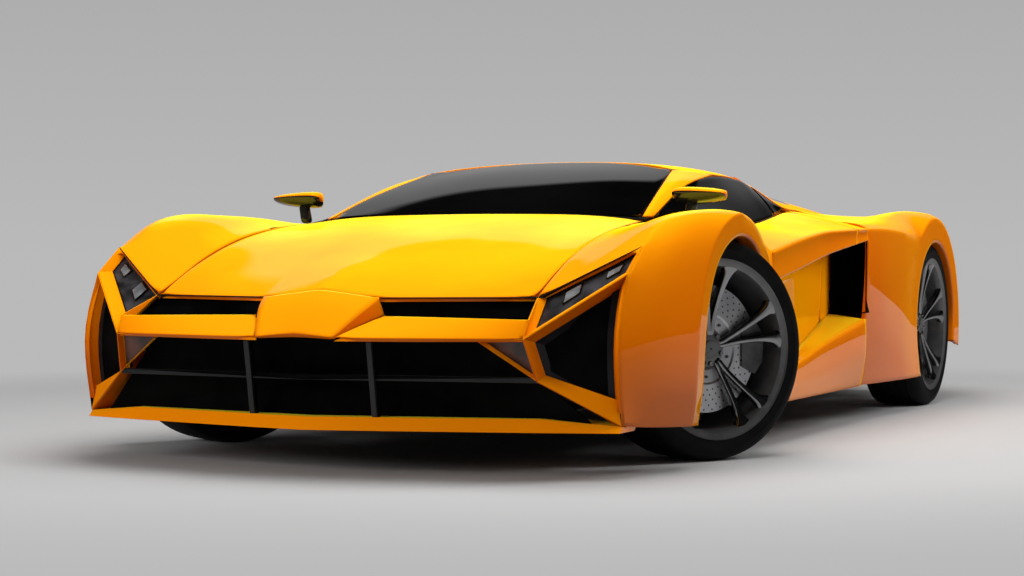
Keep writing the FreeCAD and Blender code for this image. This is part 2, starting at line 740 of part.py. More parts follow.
duct_mesh = stack([[Vector(x, y, z) for x, z in SCOOP_MOUTH]
                   for y in (SCOOP_Y + 250, SCOOP_Y + 258)])
add("side_ducts", both(tidy(duct_mesh.cut(quarter_shape))))

# ---------------------------------------------------------------- rear lid
REAR_LID_ROWS = (
    ((0, -674, 991), (300, -674, 957), (470, -674, 851), (LID_EDGE_X - GAP, -674, 815)),
    ((0, -200, 945), (280, -200, 892), (450, -200, 826), (LID_EDGE_X - GAP, -200, 808)),
    ((0, 300, 878), (260, 300, 846), (430, 300, 814), (LID_EDGE_X - GAP, 300, 798)),
    ((0, 850, 800), (250, 850, 798), (420, 850, 785), (LID_EDGE_X - GAP, 850, 752)),
)
DECK_Y = REAR_Y + 800
DECK_Z = size("deck_pivot_z")


def louvre_rooms():
    """Slots across the lid behind its window."""
    return [box(-330, 330, REAR_Y + y, REAR_Y + y + 45, 700, 1100) for y in range(0, 540, 90)]


rear_lid = skin(REAR_LID_ROWS, [at_rear] * len(REAR_LID_ROWS), 30)
window_room = stack([[at_rear(x, y, z) for x, y in
                      ((-400, -600), (400, -600), (360, -70), (-360, -70))] for z in (800, 1100)])
pane = rear_lid.common(window_room)
pane = pane.cut(pane.translated(Vector(0, 0, -7)))
rear_lid = rear_lid.cut(window_room)
for room in louvre_rooms():
    rear_lid = rear_lid.cut(room)
arm = prism_x([(DECK_Y - 20, 790), (DECK_Y + 12, 770), (DECK_Y + 12, DECK_Z - 12),
               (DECK_Y - 12, DECK_Z - 12)], 430, 450)
arm = arm.cut(cylinder_x(6 + RUN, 400, 500, DECK_Y, DECK_Z))
rear_lid = fuse([rear_lid, arm, mirrored(arm)])
add("rear_lid", tidy(rear_lid))
add("rear_glass", tidy(pane.cut(rear_lid)))

# ---------------------------------------------------------------- tail
TAIL_PLAN = ((870, 735), (800, 860), (560, 925), (0, 945))


def tail_band(z0, z1, proud, depth):
    """Strip round the tail between two heights."""
    outline = [(-x, y) for x, y in TAIL_PLAN[:-1]] + [(x, y) for x, y in reversed(TAIL_PLAN)]
    outer = [[at_rear(x, y - proud, z0) for x, y in outline],
             [at_rear(x, y - proud, z1) for x, y in outline]]
    inner = [[p - Vector(p.x * depth / 1000, depth, 0) for p in row] for row in outer]
    return panel(outer, inner)


bumper = tail_band(250, 685, 0, 60)
lamp_room = tail_band(600, 650, -5, 30)
lamp_band = tail_band(600, 650, 4, 40)
bumper = bumper.cut(lamp_room)
plate_recess = box(-262, 262, TAIL_Y - 14, TAIL_Y + 20, 400, 514)
bumper = bumper.cut(plate_recess)
for side in (1, -1):
    hole_x = side * size("plate_hole_spacing") / 2
    bumper = bumper.cut(Part.makeCylinder(size("plate_hole_radius"), 25,
                                          Vector(hole_x, TAIL_Y - 14, 457), Vector(0, -1, 0)))
TOW_X = -400
TOW_Z = 330
TOW_FACE_Y = TAIL_Y - 24
tow_cap = Part.makeCylinder(2 * size("tow_hole_radius"), 40, Vector(TOW_X, TOW_FACE_Y, TOW_Z),
                            Vector(0, 1, 0))
tow_hole = Part.makeCylinder(size("tow_hole_radius"), size("tow_hole_depth"),
                             Vector(TOW_X, TOW_FACE_Y, TOW_Z), Vector(0, -1, 0))
bumper = bumper.cut(tow_cap).cut(tow_hole)
for side in (1, -1):
    bumper = bumper.cut(quarter_shape if side > 0 else mirrored(quarter_shape))
pins = []
for side in (1, -1):
    pins.append(cylinder_x(6, min(side * 432, side * 470), max(side * 432, side * 470), DECK_Y,
                           DECK_Z))
    pins.append(prism_x([(DECK_Y - 10, DECK_Z - 10), (DECK_Y + 10, DECK_Z + 8),
                         (TAIL_Y - 40, 680), (TAIL_Y - 40, 655), (DECK_Y + 20, 655)],
                        side * 458, side * 470))
bumper = tidy(fuse([bumper] + pins))
add("rear_bumper", bumper)
lamp_band = lamp_band.cut(bumper).cut(quarter_shape).cut(mirrored(quarter_shape))
add("tail_lamps", tidy(lamp_band.cut(box(-180, 180, 0, 3000, 0, 1000))))


def diffuser():
    """Upswept floor with fins under the tail."""
    plate = prism_x([(REAR_Y + 380, 140), (TAIL_Y - 50, 250), (TAIL_Y - 50, 262),
                     (REAR_Y + 380, 152)], -600, 600)
    fins = [prism_x([(REAR_Y + 400, 144), (TAIL_Y - 90, 165), (TAIL_Y - 70, 250)], x - 5, x + 5)
            for x in (-480, -320, -160, 160, 320, 480)]
    return fuse([plate] + fins)


add("diffuser", tidy(diffuser().cut(bumper)))

# ---------------------------------------------------------------- wheels
REST = -size("steer_at_rest")
WIDE = size("tyre_half_width")


def wheel_place(side, y, half_track, angle):
    """Placement of a wheel: its own +X points out of the car, turned about Z by angle."""
    turn = angle if side > 0 else angle + 180
    return FreeCAD.Placement(Vector(side * half_track, y, HUB_Z),
                             FreeCAD.Rotation(Vector(0, 0, 1), turn))


def revolve(outline):
    """Profile of (offset from the wheel's middle, radius) points turned about X."""
    wire = Part.makePolygon([Vector(u, 0, r) for u, r in outline + outline[:1]])
    return Part.Face(wire).revolve(Vector(0, 0, 0), Vector(1, 0, 0), 360)


DISC_FROM = 22
# spoke sections, columns: radius, half width, front offset, depth, lean in degrees
SPOKE_SECTIONS = (
    (52, 11, 70, 26, 6),
    (150, 10, 84, 22, 8),
    (232, 15, 102, 20, 11),
    (size("rim_barrel_radius") + 2, 28, 108, 16, 13),
)


def rim():
    """Alloy rim with five twin spokes, hub and brake disc."""
    lip = size("rim_radius")
    barrel = size("rim_barrel_radius")
    seat_r = barrel + 8
    hub_r = size("hub_radius")
    drum = revolve([(-112, barrel), (104, barrel), (116, lip), (98, seat_r), (-98, seat_r),
                    (-112, lip)])
    hub = revolve([(-18, 31), (22, 31), (22, 0), (74, 0), (66, hub_r), (-18, hub_r)])
    disc = revolve([(DISC_FROM, 60), (DISC_FROM, size("disc_radius")),
                    (DISC_FROM + size("disc_thickness"), size("disc_radius")),
                    (DISC_FROM + size("disc_thickness"), 60)])
    parts = [drum, hub, disc]
    pitch = 360 / size("spoke_pairs")
    for pair in range(int(size("spoke_pairs"))):
        for side in (-1, 1):
            loops = []
            for radius, half, front, depth, lean in SPOKE_SECTIONS:
                angle = math.radians(90 + pair * pitch + side * lean)
                out = Vector(0, math.cos(angle), math.sin(angle))
                across = Vector(0, -math.sin(angle), math.cos(angle)) * half
                face_at = out * radius + Vector(front, 0, 0)
                back_at = out * radius + Vector(front - depth, 0, 0)
                loops.append([back_at + across, face_at + across * 0.8, face_at - across * 0.8,
                              back_at - across])
            parts.append(stack(loops))
    return fuse(parts)


def tyre():
    """Tyre with bevelled shoulders, seated on the rim."""
    inner = size("rim_barrel_radius") + 8 + RUN
    outer = size("tyre_radius")
    half = [(88, outer), (WIDE - 2, outer - 24), (97, inner)]
    return revolve([(-u, r) for u, r in reversed(half)] + half)


RIM = rim()
TYRE = tyre()
CORNERS = (("front_left", 1, FRONT_Y, FRONT_TRACK, REST),
           ("front_right", -1, FRONT_Y, FRONT_TRACK, REST),
           ("rear_left", 1, REAR_Y, REAR_TRACK, 0),
           ("rear_right", -1, REAR_Y, REAR_TRACK, 0))
for corner, side, y, half_track, angle in CORNERS:
    for kind, shape in (("wheel_", RIM), ("tyre_", TYRE)):
        node = add(kind + corner, shape)
        node.Placement = wheel_place(side, y, half_track, angle)


# ---------------------------------------------------------------- knuckles and calipers
PIN_OFFSET = 185
PIN_RADIUS = 13
STUB_RADIUS = 30.7


# side view of a caliper, columns: y away from the hub, z above it
CALIPER = ((138, -58), (192, -84), (222, -48), (228, 0), (222, 48), (192, 84), (138, 58))


def knuckle(trailing):
    """Upright with stub axle, kingpin sockets and caliper, in the wheel's own axes."""
    plate = Part.makeBox(32, 90, 2 * PIN_OFFSET + 30, Vector(-62, -45, -PIN_OFFSET - 15))
    stub = Part.makeCylinder(STUB_RADIUS, 50, Vector(-35, 0, 0), Vector(1, 0, 0))
    horns = []
    for end in (-1, 1):
        horns.append(Part.makeBox(50, 40, 22, Vector(-36, -20, end * PIN_OFFSET - 11)))
    disc_edge = size("disc_radius") + 4
    side_view = [(trailing * y, z) for y, z in CALIPER]
    slot = revolve([(19, 100), (19, disc_edge), (55, disc_edge), (55, 100)])
    caliper = prism_x(side_view, 6, 58).cut(slot)
    clear = size("hub_radius") + 8
    bracket = Part.makeBox(32, 165, 60, Vector(-62, 0 if trailing > 0 else -165, -30))
    arm = Part.makeBox(64, 165 - clear, 60, Vector(-50, clear if trailing > 0 else -165, -30))
    body = fuse([plate, stub, caliper, bracket, arm] + horns)
    for end in (-1, 1):
        body = body.cut(Part.makeCylinder(PIN_RADIUS + RUN, 50,
                                          Vector(0, 0, end * PIN_OFFSET - 25)))
    return body


for side, name in ((1, "knuckle_left"), (-1, "knuckle_right")):
    node = add(name, tidy(knuckle(side)))
    node.Placement = wheel_place(side, FRONT_Y, FRONT_TRACK, REST)


# ---------------------------------------------------------------- suspension


def link(start, end, width, height):
    """Straight bar of rectangular section between two points."""
    along = end - start
    across = Vector(-along.y, along.x, 0).normalize() * (width / 2)
    up = Vector(0, 0, height / 2)
    corners = (-across - up, across - up, across + up, up - across)
    return stack([[p + c for c in corners] for p in (start, end)])


def wishbones(y0, half_track):
    """Upper and lower wishbones of one left wheel with their kingpin studs."""
    parts = []
    for end in (-1, 1):
        low = -11 if end > 0 else -40
        pin_at = Vector(half_track, y0, HUB_Z + end * PIN_OFFSET + low)
        parts.append(Part.makeCylinder(PIN_RADIUS, 51, pin_at))
        head = Vector(half_track + 12, y0, HUB_Z + end * (PIN_OFFSET + 30))
        neck = Vector(half_track - 160, y0, head.z)
        parts.append(link(head, neck, 30, 20))
        for dy in (-110, 110):
            foot = Vector(RAIL_X, y0 + dy, HUB_Z + end * 90)
            start = neck + Vector(16, 0, 0)
            parts.append(link(start, foot, 22, 20))
    return fuse(parts)


front_arms = wishbones(FRONT_Y, FRONT_TRACK)
carrier = knuckle(-1)
carrier.Placement = wheel_place(1, REAR_Y, REAR_TRACK, 0)
rear_arms = wishbones(REAR_Y, REAR_TRACK)
shaft = cylinder_x(18, RAIL_X - 80, REAR_TRACK - 64, REAR_Y, HUB_Z)
rear_set = fuse([rear_arms, shaft])
add("wishbones", Part.makeCompound(both(front_arms).Solids + both(rear_set).Solids))
add("rear_carriers", both(tidy(carrier.cut(rear_set))))

# ---------------------------------------------------------------- wheel-arch liners
def liner(y0, inner_x, step_x, outer_x):
    """Shell over a wheel with an inner wall, open where the arms pass."""
    thick = size("liner_thickness")
    shell = wheel_room(y0, inner_x, step_x, outer_x, thick)
    shell = shell.cut(wheel_room(y0, inner_x, step_x, outer_x + 9, 0))
    shell = shell.cut(box(0, 1100, y0 - 600, y0 + 600, -100, 190))
    return shell.cut(box(0, inner_x + 5, y0 - 170, y0 + 170, 100, 640))


front_liner = liner(FRONT_Y, WELL_X, STEP_X, MOUTH_X - 60).cut(fender).cut(sill_shape)
front_liner = front_liner.cut(door_leaf_room())
rear_liner = liner(REAR_Y, REAR_WELL_X, REAR_WELL_X, REAR_HALF - 80).cut(quarter_shape)
liners = [tidy(front_liner), tidy(rear_liner)]
add("wheel_liners", Part.makeCompound([s for part in liners for s in both(part).Solids]))

# ---------------------------------------------------------------- tub, rails and heavy blocks
FLOOR = size("floor_height")
FLOOR_TOP = FLOOR + size("floor_thickness")
CABIN_FRONT_Y = FRONT_Y + 460
CABIN_REAR_Y = REAR_Y - 760


def tub():
    """Floor, bulkheads, tunnel, crash rails and rear frame."""
    half = DOOR_INNER_X
    core = RAIL_X - 50
    parts = [box(-half, half, CABIN_FRONT_Y - 40, CABIN_REAR_Y + 40, FLOOR, FLOOR_TOP),
             box(100 - half, half - 100, CABIN_FRONT_Y - 40, CABIN_FRONT_Y, FLOOR, 640),
             box(-core, core, CABIN_REAR_Y + 40, CABIN_REAR_Y + 540, FLOOR, FLOOR_TOP),
             box(-core, core, CABIN_REAR_Y + 540, REAR_Y + 390, 132, 140),
             box(-core, core, FRONT_Y - 700, CABIN_FRONT_Y - 40, FLOOR, FLOOR + 8),
             box(-core, core, FRONT_Y - 708, FRONT_Y - 700, FLOOR, 260),
             box(-half, half, CABIN_REAR_Y, CABIN_REAR_Y + 40, FLOOR, 700),
             box(-90, 90, CABIN_FRONT_Y, CABIN_REAR_Y, FLOOR_TOP, 330)]
    for side in (-1, 1):
        x0, x1 = sorted((side * (RAIL_X - 50), side * RAIL_X))
        parts.append(box(x0, x1, FRONT_Y - 700, CABIN_FRONT_Y, 290, 400))
        parts.append(box(x0, x1, CABIN_REAR_Y, TAIL_Y - 70, 290, 400))
        for y in (FRONT_Y, REAR_Y):
            a0, a1 = sorted((side * (RAIL_X - 20), side * RAIL_X))
            parts.append(box(a0, a1, y - 140, y + 140, 225, 470))
    parts.append(box(-RAIL_X, RAIL_X, FRONT_Y - 740, FRONT_Y - 700, 250, 400))
    return parts


battery = doc.addObject("Part::Box", "battery_block")
battery.Label = "battery_block"
battery.setExpression("Width", "Sizes.battery_length")
battery.setExpression("Length", "2 * (Sizes.half_width - Sizes.front_wheel_inset"
                      " - Sizes.rail_inset - Sizes.battery_inset)")
battery.setExpression("Height", "Sizes.battery_height")
battery.Placement.Base = Vector(size("battery_inset") - RAIL_X, CABIN_REAR_Y + 44, FLOOR_TOP)
NODES["battery_block"] = battery
doc.recompute()

motor_half = RAIL_X - 100
motor = cylinder_x(size("motor_radius"), -motor_half, motor_half, REAR_Y, HUB_Z)
motor = motor.fuse(box(-(RAIL_X - 50), RAIL_X - 50, REAR_Y - 20, REAR_Y + 20, 300, 390))
add("drive_motor", motor.removeSplitter().cut(rear_set).cut(mirrored(rear_set)))
tub_shape = fuse(tub())
for cutter in (*both(rear_set).Solids, *both(front_arms).Solids, bumper):
    tub_shape = tub_shape.cut(cutter)
add("tub", tidy(tub_shape))

boot_half = RAIL_X - 60
boot = box(-boot_half, boot_half, FRONT_Y - 470, FRONT_Y + 130, 400, 600)
boot = boot.fuse(box(-(RAIL_X - 22), RAIL_X - 22, FRONT_Y - 470, FRONT_Y + 130, 400, 408))
boot = boot.cut(box(8 - boot_half, boot_half - 8, FRONT_Y - 462, FRONT_Y + 122, 408, 700))
add("front_boot", boot.removeSplitter())

# ---------------------------------------------------------------- cabin
def seat(x0):
    """Bucket seat: side profile across its width with raised bolsters."""
    y = CABIN_REAR_Y
    core = [(y - 800, FLOOR_TOP), (y - 330, FLOOR_TOP), (y - 60, 730), (y - 100, 770),
            (y - 160, 740), (y - 400, 290), (y - 780, 300), (y - 830, 260)]
    wings = [(y - 800, FLOOR_TOP), (y - 330, FLOOR_TOP), (y - 90, 620), (y - 210, 640),
             (y - 400, 370), (y - 760, 350)]
    return fuse([prism_x(core, x0 - 190, x0 + 190), prism_x(wings, x0 - 240, x0 - 170),
                 prism_x(wings, x0 + 170, x0 + 240)])


SEAT_X = 350
add("seats", both(seat(SEAT_X)))


def dashboard():
    """Dashboard with a centre console and a column boss for the steering wheel."""
    y = CABIN_FRONT_Y
    top = [(y, 640), (y - 40, 690), (y + 160, 720), (y + 330, 690), (y + 350, 640),
           (y + 250, 560), (y + 200, 470), (y, 430)]
    body = prism_x(top, 106 - DOOR_INNER_X, DOOR_INNER_X - 106)
    console = prism_x([(y, 330), (y + 900, 330), (y + 880, 380), (y + 330, 430), (y + 240, 560),
                       (y, 560)], -85, 85)
    return fuse([body, console])


WHEEL_TILT = 22
COLUMN = Vector(SEAT_X, CABIN_FRONT_Y + 330, 610)
TILT = math.radians(WHEEL_TILT)
COLUMN_DIR = Vector(0, math.cos(TILT), math.sin(TILT))
column_hole = Part.makeCylinder(20 + RUN, 120, COLUMN - COLUMN_DIR * 60, COLUMN_DIR)
column_tube = Part.makeCylinder(32, 100, COLUMN - COLUMN_DIR * 80, COLUMN_DIR)
dash = fuse([dashboard(), column_tube]).cut(column_hole)
for cutter in (tub_shape, roof, screen_shape, cowl_shape, fender, mirrored(fender)):
    dash = dash.cut(cutter)
add("dashboard", tidy(dash))


def grip_outline(reach, z):
    """Rounded-square outline of the hand wheel at a given reach."""
    points = []
    for step in range(24):
        angle = math.radians(step * 15)
        across, up = math.cos(angle), math.sin(angle)
        stretch = (across ** 4 + up ** 4) ** -0.25
        points.append(Vector(reach * across * stretch, 0.88 * reach * up * stretch, z))
    return points


def hand_wheel():
    """Squared steering wheel with three spokes on its column stub."""
    grip = stack([grip_outline(157, -12), grip_outline(163, 0), grip_outline(157, 12)])
    grip = grip.cut(stack([grip_outline(132, -30), grip_outline(132, 30)]))
    hub = Part.makeCylinder(42, 34, Vector(0, 0, -20))
    spokes = [Part.makeBox(110, 26, 12, Vector(30, -13, -12)),
              Part.makeBox(110, 26, 12, Vector(-140, -13, -12)),
              Part.makeBox(26, 110, 12, Vector(-13, -128, -12))]
    stub = Part.makeCylinder(20, 180, Vector(0, 0, -200))
    return fuse([grip, hub, stub] + spokes)


wheel_node = add("steering_wheel", hand_wheel())
wheel_node.Placement = FreeCAD.Placement(
    COLUMN + COLUMN_DIR * 150, FreeCAD.Rotation(Vector(0, 0, 1), COLUMN_DIR))


# ---------------------------------------------------------------- write the sub-parts
doc.recompute()
for feature in doc.Objects:
    if {"Invalid", "Error"} & set(feature.State):
        raise RuntimeError(f"{feature.Label} failed to build")
for name, feature in NODES.items():
    if feature.Shape.isNull() or not feature.Shape.isValid():
        raise RuntimeError(f"{name} has no valid shape")
os.makedirs("parts", exist_ok=True)
for name, feature in NODES.items():
    feature.Shape.exportStep(f"parts/{name}.step")
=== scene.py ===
"""Looks of the electric hypercar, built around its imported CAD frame.

Metres, +Z up, nose towards -Y, the car's left side on +X, origin on the ground.
Painted panels, wheels, tyres, front lamps and glass are pieces of their own that stand for
CAD nodes. The chassis gets bevelled copies; the tail and the cabin keep their CAD solids.
"""

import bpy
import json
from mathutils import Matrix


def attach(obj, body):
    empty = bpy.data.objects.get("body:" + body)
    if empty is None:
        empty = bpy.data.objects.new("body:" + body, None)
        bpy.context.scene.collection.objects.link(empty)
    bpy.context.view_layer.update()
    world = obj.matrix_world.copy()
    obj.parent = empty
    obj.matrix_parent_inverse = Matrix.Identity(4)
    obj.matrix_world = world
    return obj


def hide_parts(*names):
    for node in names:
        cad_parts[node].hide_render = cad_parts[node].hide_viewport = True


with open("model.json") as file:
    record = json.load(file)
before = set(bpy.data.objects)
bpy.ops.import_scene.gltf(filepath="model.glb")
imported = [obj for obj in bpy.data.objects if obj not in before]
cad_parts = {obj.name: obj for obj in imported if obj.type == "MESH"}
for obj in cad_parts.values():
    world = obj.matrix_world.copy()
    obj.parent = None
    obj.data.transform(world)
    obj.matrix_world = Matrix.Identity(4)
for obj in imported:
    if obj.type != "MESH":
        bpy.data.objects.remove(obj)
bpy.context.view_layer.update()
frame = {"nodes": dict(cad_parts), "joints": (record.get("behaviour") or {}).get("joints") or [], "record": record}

import json
import math

import bmesh
import bpy
from mathutils import Matrix, Vector

scene = bpy.context.scene

# ---------------------------------------------------------------- sizes from the frame
JOINTS = {joint["name"]: joint for joint in frame["joints"]}
FRONT_HUB = Vector(JOINTS["steer_left"]["pos_m"])
REAR_HUB = Vector(JOINTS["spin_rear_left"]["pos_m"])
HUB_Z = FRONT_HUB.z
GAP = 0.006
# sign of x and name of each side
SIDES = ((1, "left"), (-1, "right"))


def at_front(x, y, z):
    """Point given from the front axle: x out, y rearward of the axle, z from the ground."""
    return Vector((x, FRONT_HUB.y + y, z))


def at_rear(x, y, z):
    """Point given from the rear axle."""
    return Vector((x, REAR_HUB.y + y, z))


# ---------------------------------------------------------------- materials
def new_material(name):
    """Node material with its Principled shader and output."""
    material = bpy.data.materials.new(name)
    material.use_nodes = True
    shader = material.node_tree.nodes["Principled BSDF"]
    return material, material.node_tree, shader


def link(tree, source, socket, target, target_socket):
    """Joins two sockets by name."""
    tree.links.new(source.outputs[socket], target.inputs[target_socket])


def add_node(tree, kind, inputs=None, **settings):
    """Shader node of a kind, with its settings and the values of its inputs."""
    node = tree.nodes.new("ShaderNode" + kind)
    for name, value in settings.items():
        setattr(node, name, value)
    for name, value in (inputs or {}).items():
        node.inputs[name].default_value = value
    return node


FINE = "TexNoise"
CELLS = "TexVoronoi"
TEXTURE_DETAIL = 4


def noise(tree, scale, kind=FINE):
    """Texture that follows the object's own coordinates."""
    texture = add_node(tree, kind, {"Scale": scale, "Detail": TEXTURE_DETAIL})
    link(tree, add_node(tree, "TexCoord"), "Object", texture, "Vector")
    return texture


def ramp(tree, source, socket, stops):
    """Colour ramp of (position, colour) pairs in rising order."""
    node = add_node(tree, "ValToRGB")
    marks = node.color_ramp.elements
    while len(marks) < len(stops):
        marks.new(0.5)
    for mark, (position, colour) in zip(marks, stops):
        mark.position = position
        mark.color = (*colour, 1)
    link(tree, source, socket, node, "Fac")
    return node


def clouds_between(tree, clouds, low, high):
    """Soft patches of two colours."""
    return ramp(tree, clouds, "Fac", ((0.35, low), (0.65, high)))


def span(tree, source, socket, low, high, start=0.0, end=1.0):
    """Number that goes from low to high as a socket goes from start to end."""
    node = add_node(tree, "MapRange", {"From Min": start, "From Max": end, "To Min": low,
                                       "To Max": high})
    link(tree, source, socket, node, "Value")
    return node


def bump(tree, shader, texture, socket, strength, distance):
    """Fine relief from a texture."""
    node = add_node(tree, "Bump", {"Strength": strength, "Distance": distance})
    link(tree, texture, socket, node, "Height")
    link(tree, node, "Normal", shader, "Normal")


def finish_material(name, low, high, scale, rough, metallic, grain=None, **sockets):
    """Material with cloudy colour and roughness, a grain and plain settings.

    low and high are colours, rough a pair of roughness values, grain is
    (texture kind, its scale, strength, distance in metres)."""
    material, tree, shader = new_material(name)
    clouds = noise(tree, scale)
    link(tree, clouds_between(tree, clouds, low, high), "Color", shader, "Base Color")
    link(tree, span(tree, clouds, "Fac", *rough), "Result", shader, "Roughness")
    shader.inputs["Metallic"].default_value = metallic
    for socket, value in sockets.items():
        shader.inputs[socket.replace("_", " ")].default_value = value
    if grain:
        kind, grain_scale, *relief = grain
        output = "Fac" if kind == FINE else "Distance"
        bump(tree, shader, noise(tree, grain_scale, kind), output, *relief)
    return material


def body_paint(name, stops, painted_rear_light):
    """Glossy lacquer, orange on upright faces, with light and shade painted in by facing:
    yellow on faces that look up or back is painted light, and the darker colour on
    faces that look down is painted shade.

    stops holds (upward part of the panel's own normal, colour) pairs."""
    material, tree, shader = new_material(name)
    split = add_node(tree, "SeparateXYZ")
    link(tree, add_node(tree, "TexCoord"), "Normal", split, "Vector")
    clouds = noise(tree, 3.0)
    height = add_node(tree, "Math", operation="ADD")
    link(tree, split, "Z", height, 0)
    link(tree, span(tree, clouds, "Fac", -0.03, 0.03), "Result", height, 1)
    lowest = stops[0][0]
    # painted light and shade: the colour follows how far each face looks up
    painted_light_by_facing = ramp(tree, span(tree, height, "Value", 0.0, 1.0, lowest), "Result",
                   [((upward - lowest) / (1 - lowest), colour) for upward, colour in stops])
    # painted light: faces that look rearward are lightened towards the rear colour
    mix = add_node(tree, "Mix", {"B": (*painted_rear_light, 1)}, data_type="RGBA",
                   blend_type="LIGHTEN")
    link(tree, span(tree, split, "Y", 0.0, 1.0, -0.05, 0.16), "Result", mix, "Factor")
    link(tree, painted_light_by_facing, "Color", mix, "A")
    link(tree, mix, "Result", shader, "Base Color")
    link(tree, span(tree, clouds, "Fac", 0.34, 0.40), "Result", shader, "Roughness")
    shader.inputs["Specular IOR Level"].default_value = 0.0
    slant = add_node(tree, "LayerWeight")
    link(tree, span(tree, slant, "Facing", 1.0, 0.06, 0.74, 0.92), "Result",
         shader, "Coat Weight")
    shader.inputs["Coat IOR"].default_value = 1.25
    shader.inputs["Coat Roughness"].default_value = 0.015
    bump(tree, shader, noise(tree, 900, CELLS), "Distance", 0.02, 0.0002)
    return material


# orange lacquer with light and shade painted in: yellow on faces that look up or back, darker on faces that look
# down
PAINT = body_paint("paint_orange_painted_light", (
    (-0.2, (0.50, 0.10, 0.0)), (0.0, (0.80, 0.165, 0.001)), (0.35, (0.92, 0.24, 0.001)),
    (0.7, (0.97, 0.31, 0.002)), (0.92, (0.99, 0.37, 0.003)), (0.965, (1.0, 0.50, 0.004)),
    (0.985, (1.0, 0.63, 0.012)), (1.0, (1.0, 0.80, 0.04))), (0.95, 0.38, 0.001))
BLACK_GLOSS = finish_material(
    "black_gloss", (0.006, 0.006, 0.007), (0.012, 0.012, 0.013), 6.0, (0.16, 0.26), 0.0,
    (FINE, 240, 0.05, 0.0003), Coat_Weight=0.3, Coat_Roughness=0.1)
BLACK_SATIN = finish_material(
    "black_satin", (0.006, 0.006, 0.007), (0.012, 0.012, 0.013), 9.0, (0.45, 0.6), 0.0,
    (FINE, 700, 0.2, 0.0004), Specular_IOR_Level=0.2)
GRILLE_GREY = finish_material(
    "grille_grey", (0.006, 0.006, 0.006), (0.011, 0.011, 0.011), 9.0, (0.4, 0.55), 0.0,
    (FINE, 500, 0.15, 0.0004))
# near-black without gloss: the grille's and ducts' own black, and painted shade on the sheets that close slots,
# scoops and intakes
BLACK_AND_PAINTED_SHADE = finish_material(
    "black_and_painted_shade", (0.001, 0.001, 0.001), (0.003, 0.003, 0.003), 9.0, (0.8, 0.95), 0.0,
    (FINE, 500, 0.15, 0.0004), Specular_IOR_Level=0.05)
RUBBER = finish_material(
    "tyre_rubber", (0.003, 0.003, 0.003), (0.007, 0.007, 0.007), 14.0, (0.62, 0.8), 0.0,
    (FINE, 420, 0.35, 0.0006), Specular_IOR_Level=0.12)
ALLOY_DARK = finish_material(
    "alloy_dark_chrome", (0.20, 0.20, 0.205), (0.26, 0.26, 0.265), 7.0, (0.14, 0.22), 1.0,
    (FINE, 60, 0.03, 0.0005))
ALLOY_RING = finish_material(
    "alloy_ring", (0.13, 0.13, 0.13), (0.17, 0.17, 0.17), 20.0, (0.36, 0.46), 0.7,
    (FINE, 900, 0.1, 0.0002))
DISC_STEEL = finish_material(
    "disc_steel", (0.42, 0.42, 0.44), (0.55, 0.55, 0.57), 12.0, (0.28, 0.42), 0.85,
    (FINE, 800, 0.15, 0.0002))
CAST_METAL = finish_material(
    "cast_metal", (0.10, 0.10, 0.105), (0.17, 0.17, 0.175), 22.0, (0.45, 0.62), 0.9,
    (FINE, 260, 0.4, 0.0008))
LINER_FELT = finish_material(
    "liner_felt", (0.008, 0.008, 0.008), (0.020, 0.020, 0.020), 30.0, (0.85, 0.95), 0.0,
    (FINE, 900, 0.6, 0.0015))
DARK_GLASS = finish_material(
    "tinted_glass", (0.001, 0.001, 0.001), (0.003, 0.003, 0.003), 2.0, (0.02, 0.035), 0.0,
    (FINE, 2, 0.02, 0.0005), Transmission_Weight=0.35, IOR=1.5)
LAMP_SMOKE = finish_material(
    "lamp_smoke", (0.012, 0.012, 0.013), (0.055, 0.055, 0.06), 16.0, (0.25, 0.5), 0.1,
    (CELLS, 260, 0.3, 0.001))
LAMP_LENS = finish_material(
    "lamp_lens", (0.16, 0.165, 0.17), (0.34, 0.35, 0.36), 26.0, (0.12, 0.2), 0.3,
    (FINE, 90, 0.2, 0.001), Coat_Weight=1.0)
DRL_SMOKE = finish_material(
    "running_lamp_smoke", (0.022, 0.018, 0.016), (0.11, 0.045, 0.03), 14.0, (0.3, 0.5), 0.1,
    (CELLS, 260, 0.3, 0.001))
MIRROR_GLASS = finish_material(
    "mirror_glass", (0.60, 0.61, 0.62), (0.66, 0.67, 0.68), 4.0, (0.02, 0.04), 1.0)
RED_LENS = finish_material(
    "red_lens", (0.10, 0.010, 0.006), (0.16, 0.018, 0.010), 60.0, (0.12, 0.22), 0.0,
    (CELLS, 180, 0.4, 0.001), Coat_Weight=1.0)
LEATHER = finish_material(
    "seat_leather", (0.018, 0.016, 0.015), (0.030, 0.027, 0.025), 18.0, (0.45, 0.6), 0.0,
    (CELLS, 420, 0.35, 0.0006))
SUEDE = finish_material(
    "dash_suede", (0.012, 0.012, 0.013), (0.022, 0.022, 0.024), 60.0, (0.8, 0.95), 0.0,
    (FINE, 1400, 0.5, 0.0006))
CARPET = finish_material(
    "floor_carpet", (0.010, 0.010, 0.010), (0.024, 0.024, 0.024), 80.0, (0.9, 0.98), 0.0,
    (FINE, 1200, 0.8, 0.002))
BATTERY_CASE = finish_material(
    "battery_case", (0.20, 0.20, 0.21), (0.28, 0.28, 0.29), 16.0, (0.35, 0.5), 0.8,
    (FINE, 300, 0.2, 0.0004))

# material of each CAD node that keeps its own solid
NODE_FINISH = {
    "battery_block": BATTERY_CASE, "dashboard": SUEDE, "diffuser": BLACK_SATIN,
    "front_boot": CARPET, "rear_bumper": PAINT, "rear_glass": DARK_GLASS, "rear_lid": PAINT,
    "seats": LEATHER, "steering_wheel": SUEDE, "tail_lamps": RED_LENS, "tub": BLACK_SATIN,
}


def paint_object(obj, material):
    """Gives every face of an object one material."""
    obj.data.materials.clear()
    obj.data.materials.append(material)


for node_name, node_material in NODE_FINISH.items():
    paint_object(frame["nodes"][node_name], node_material)

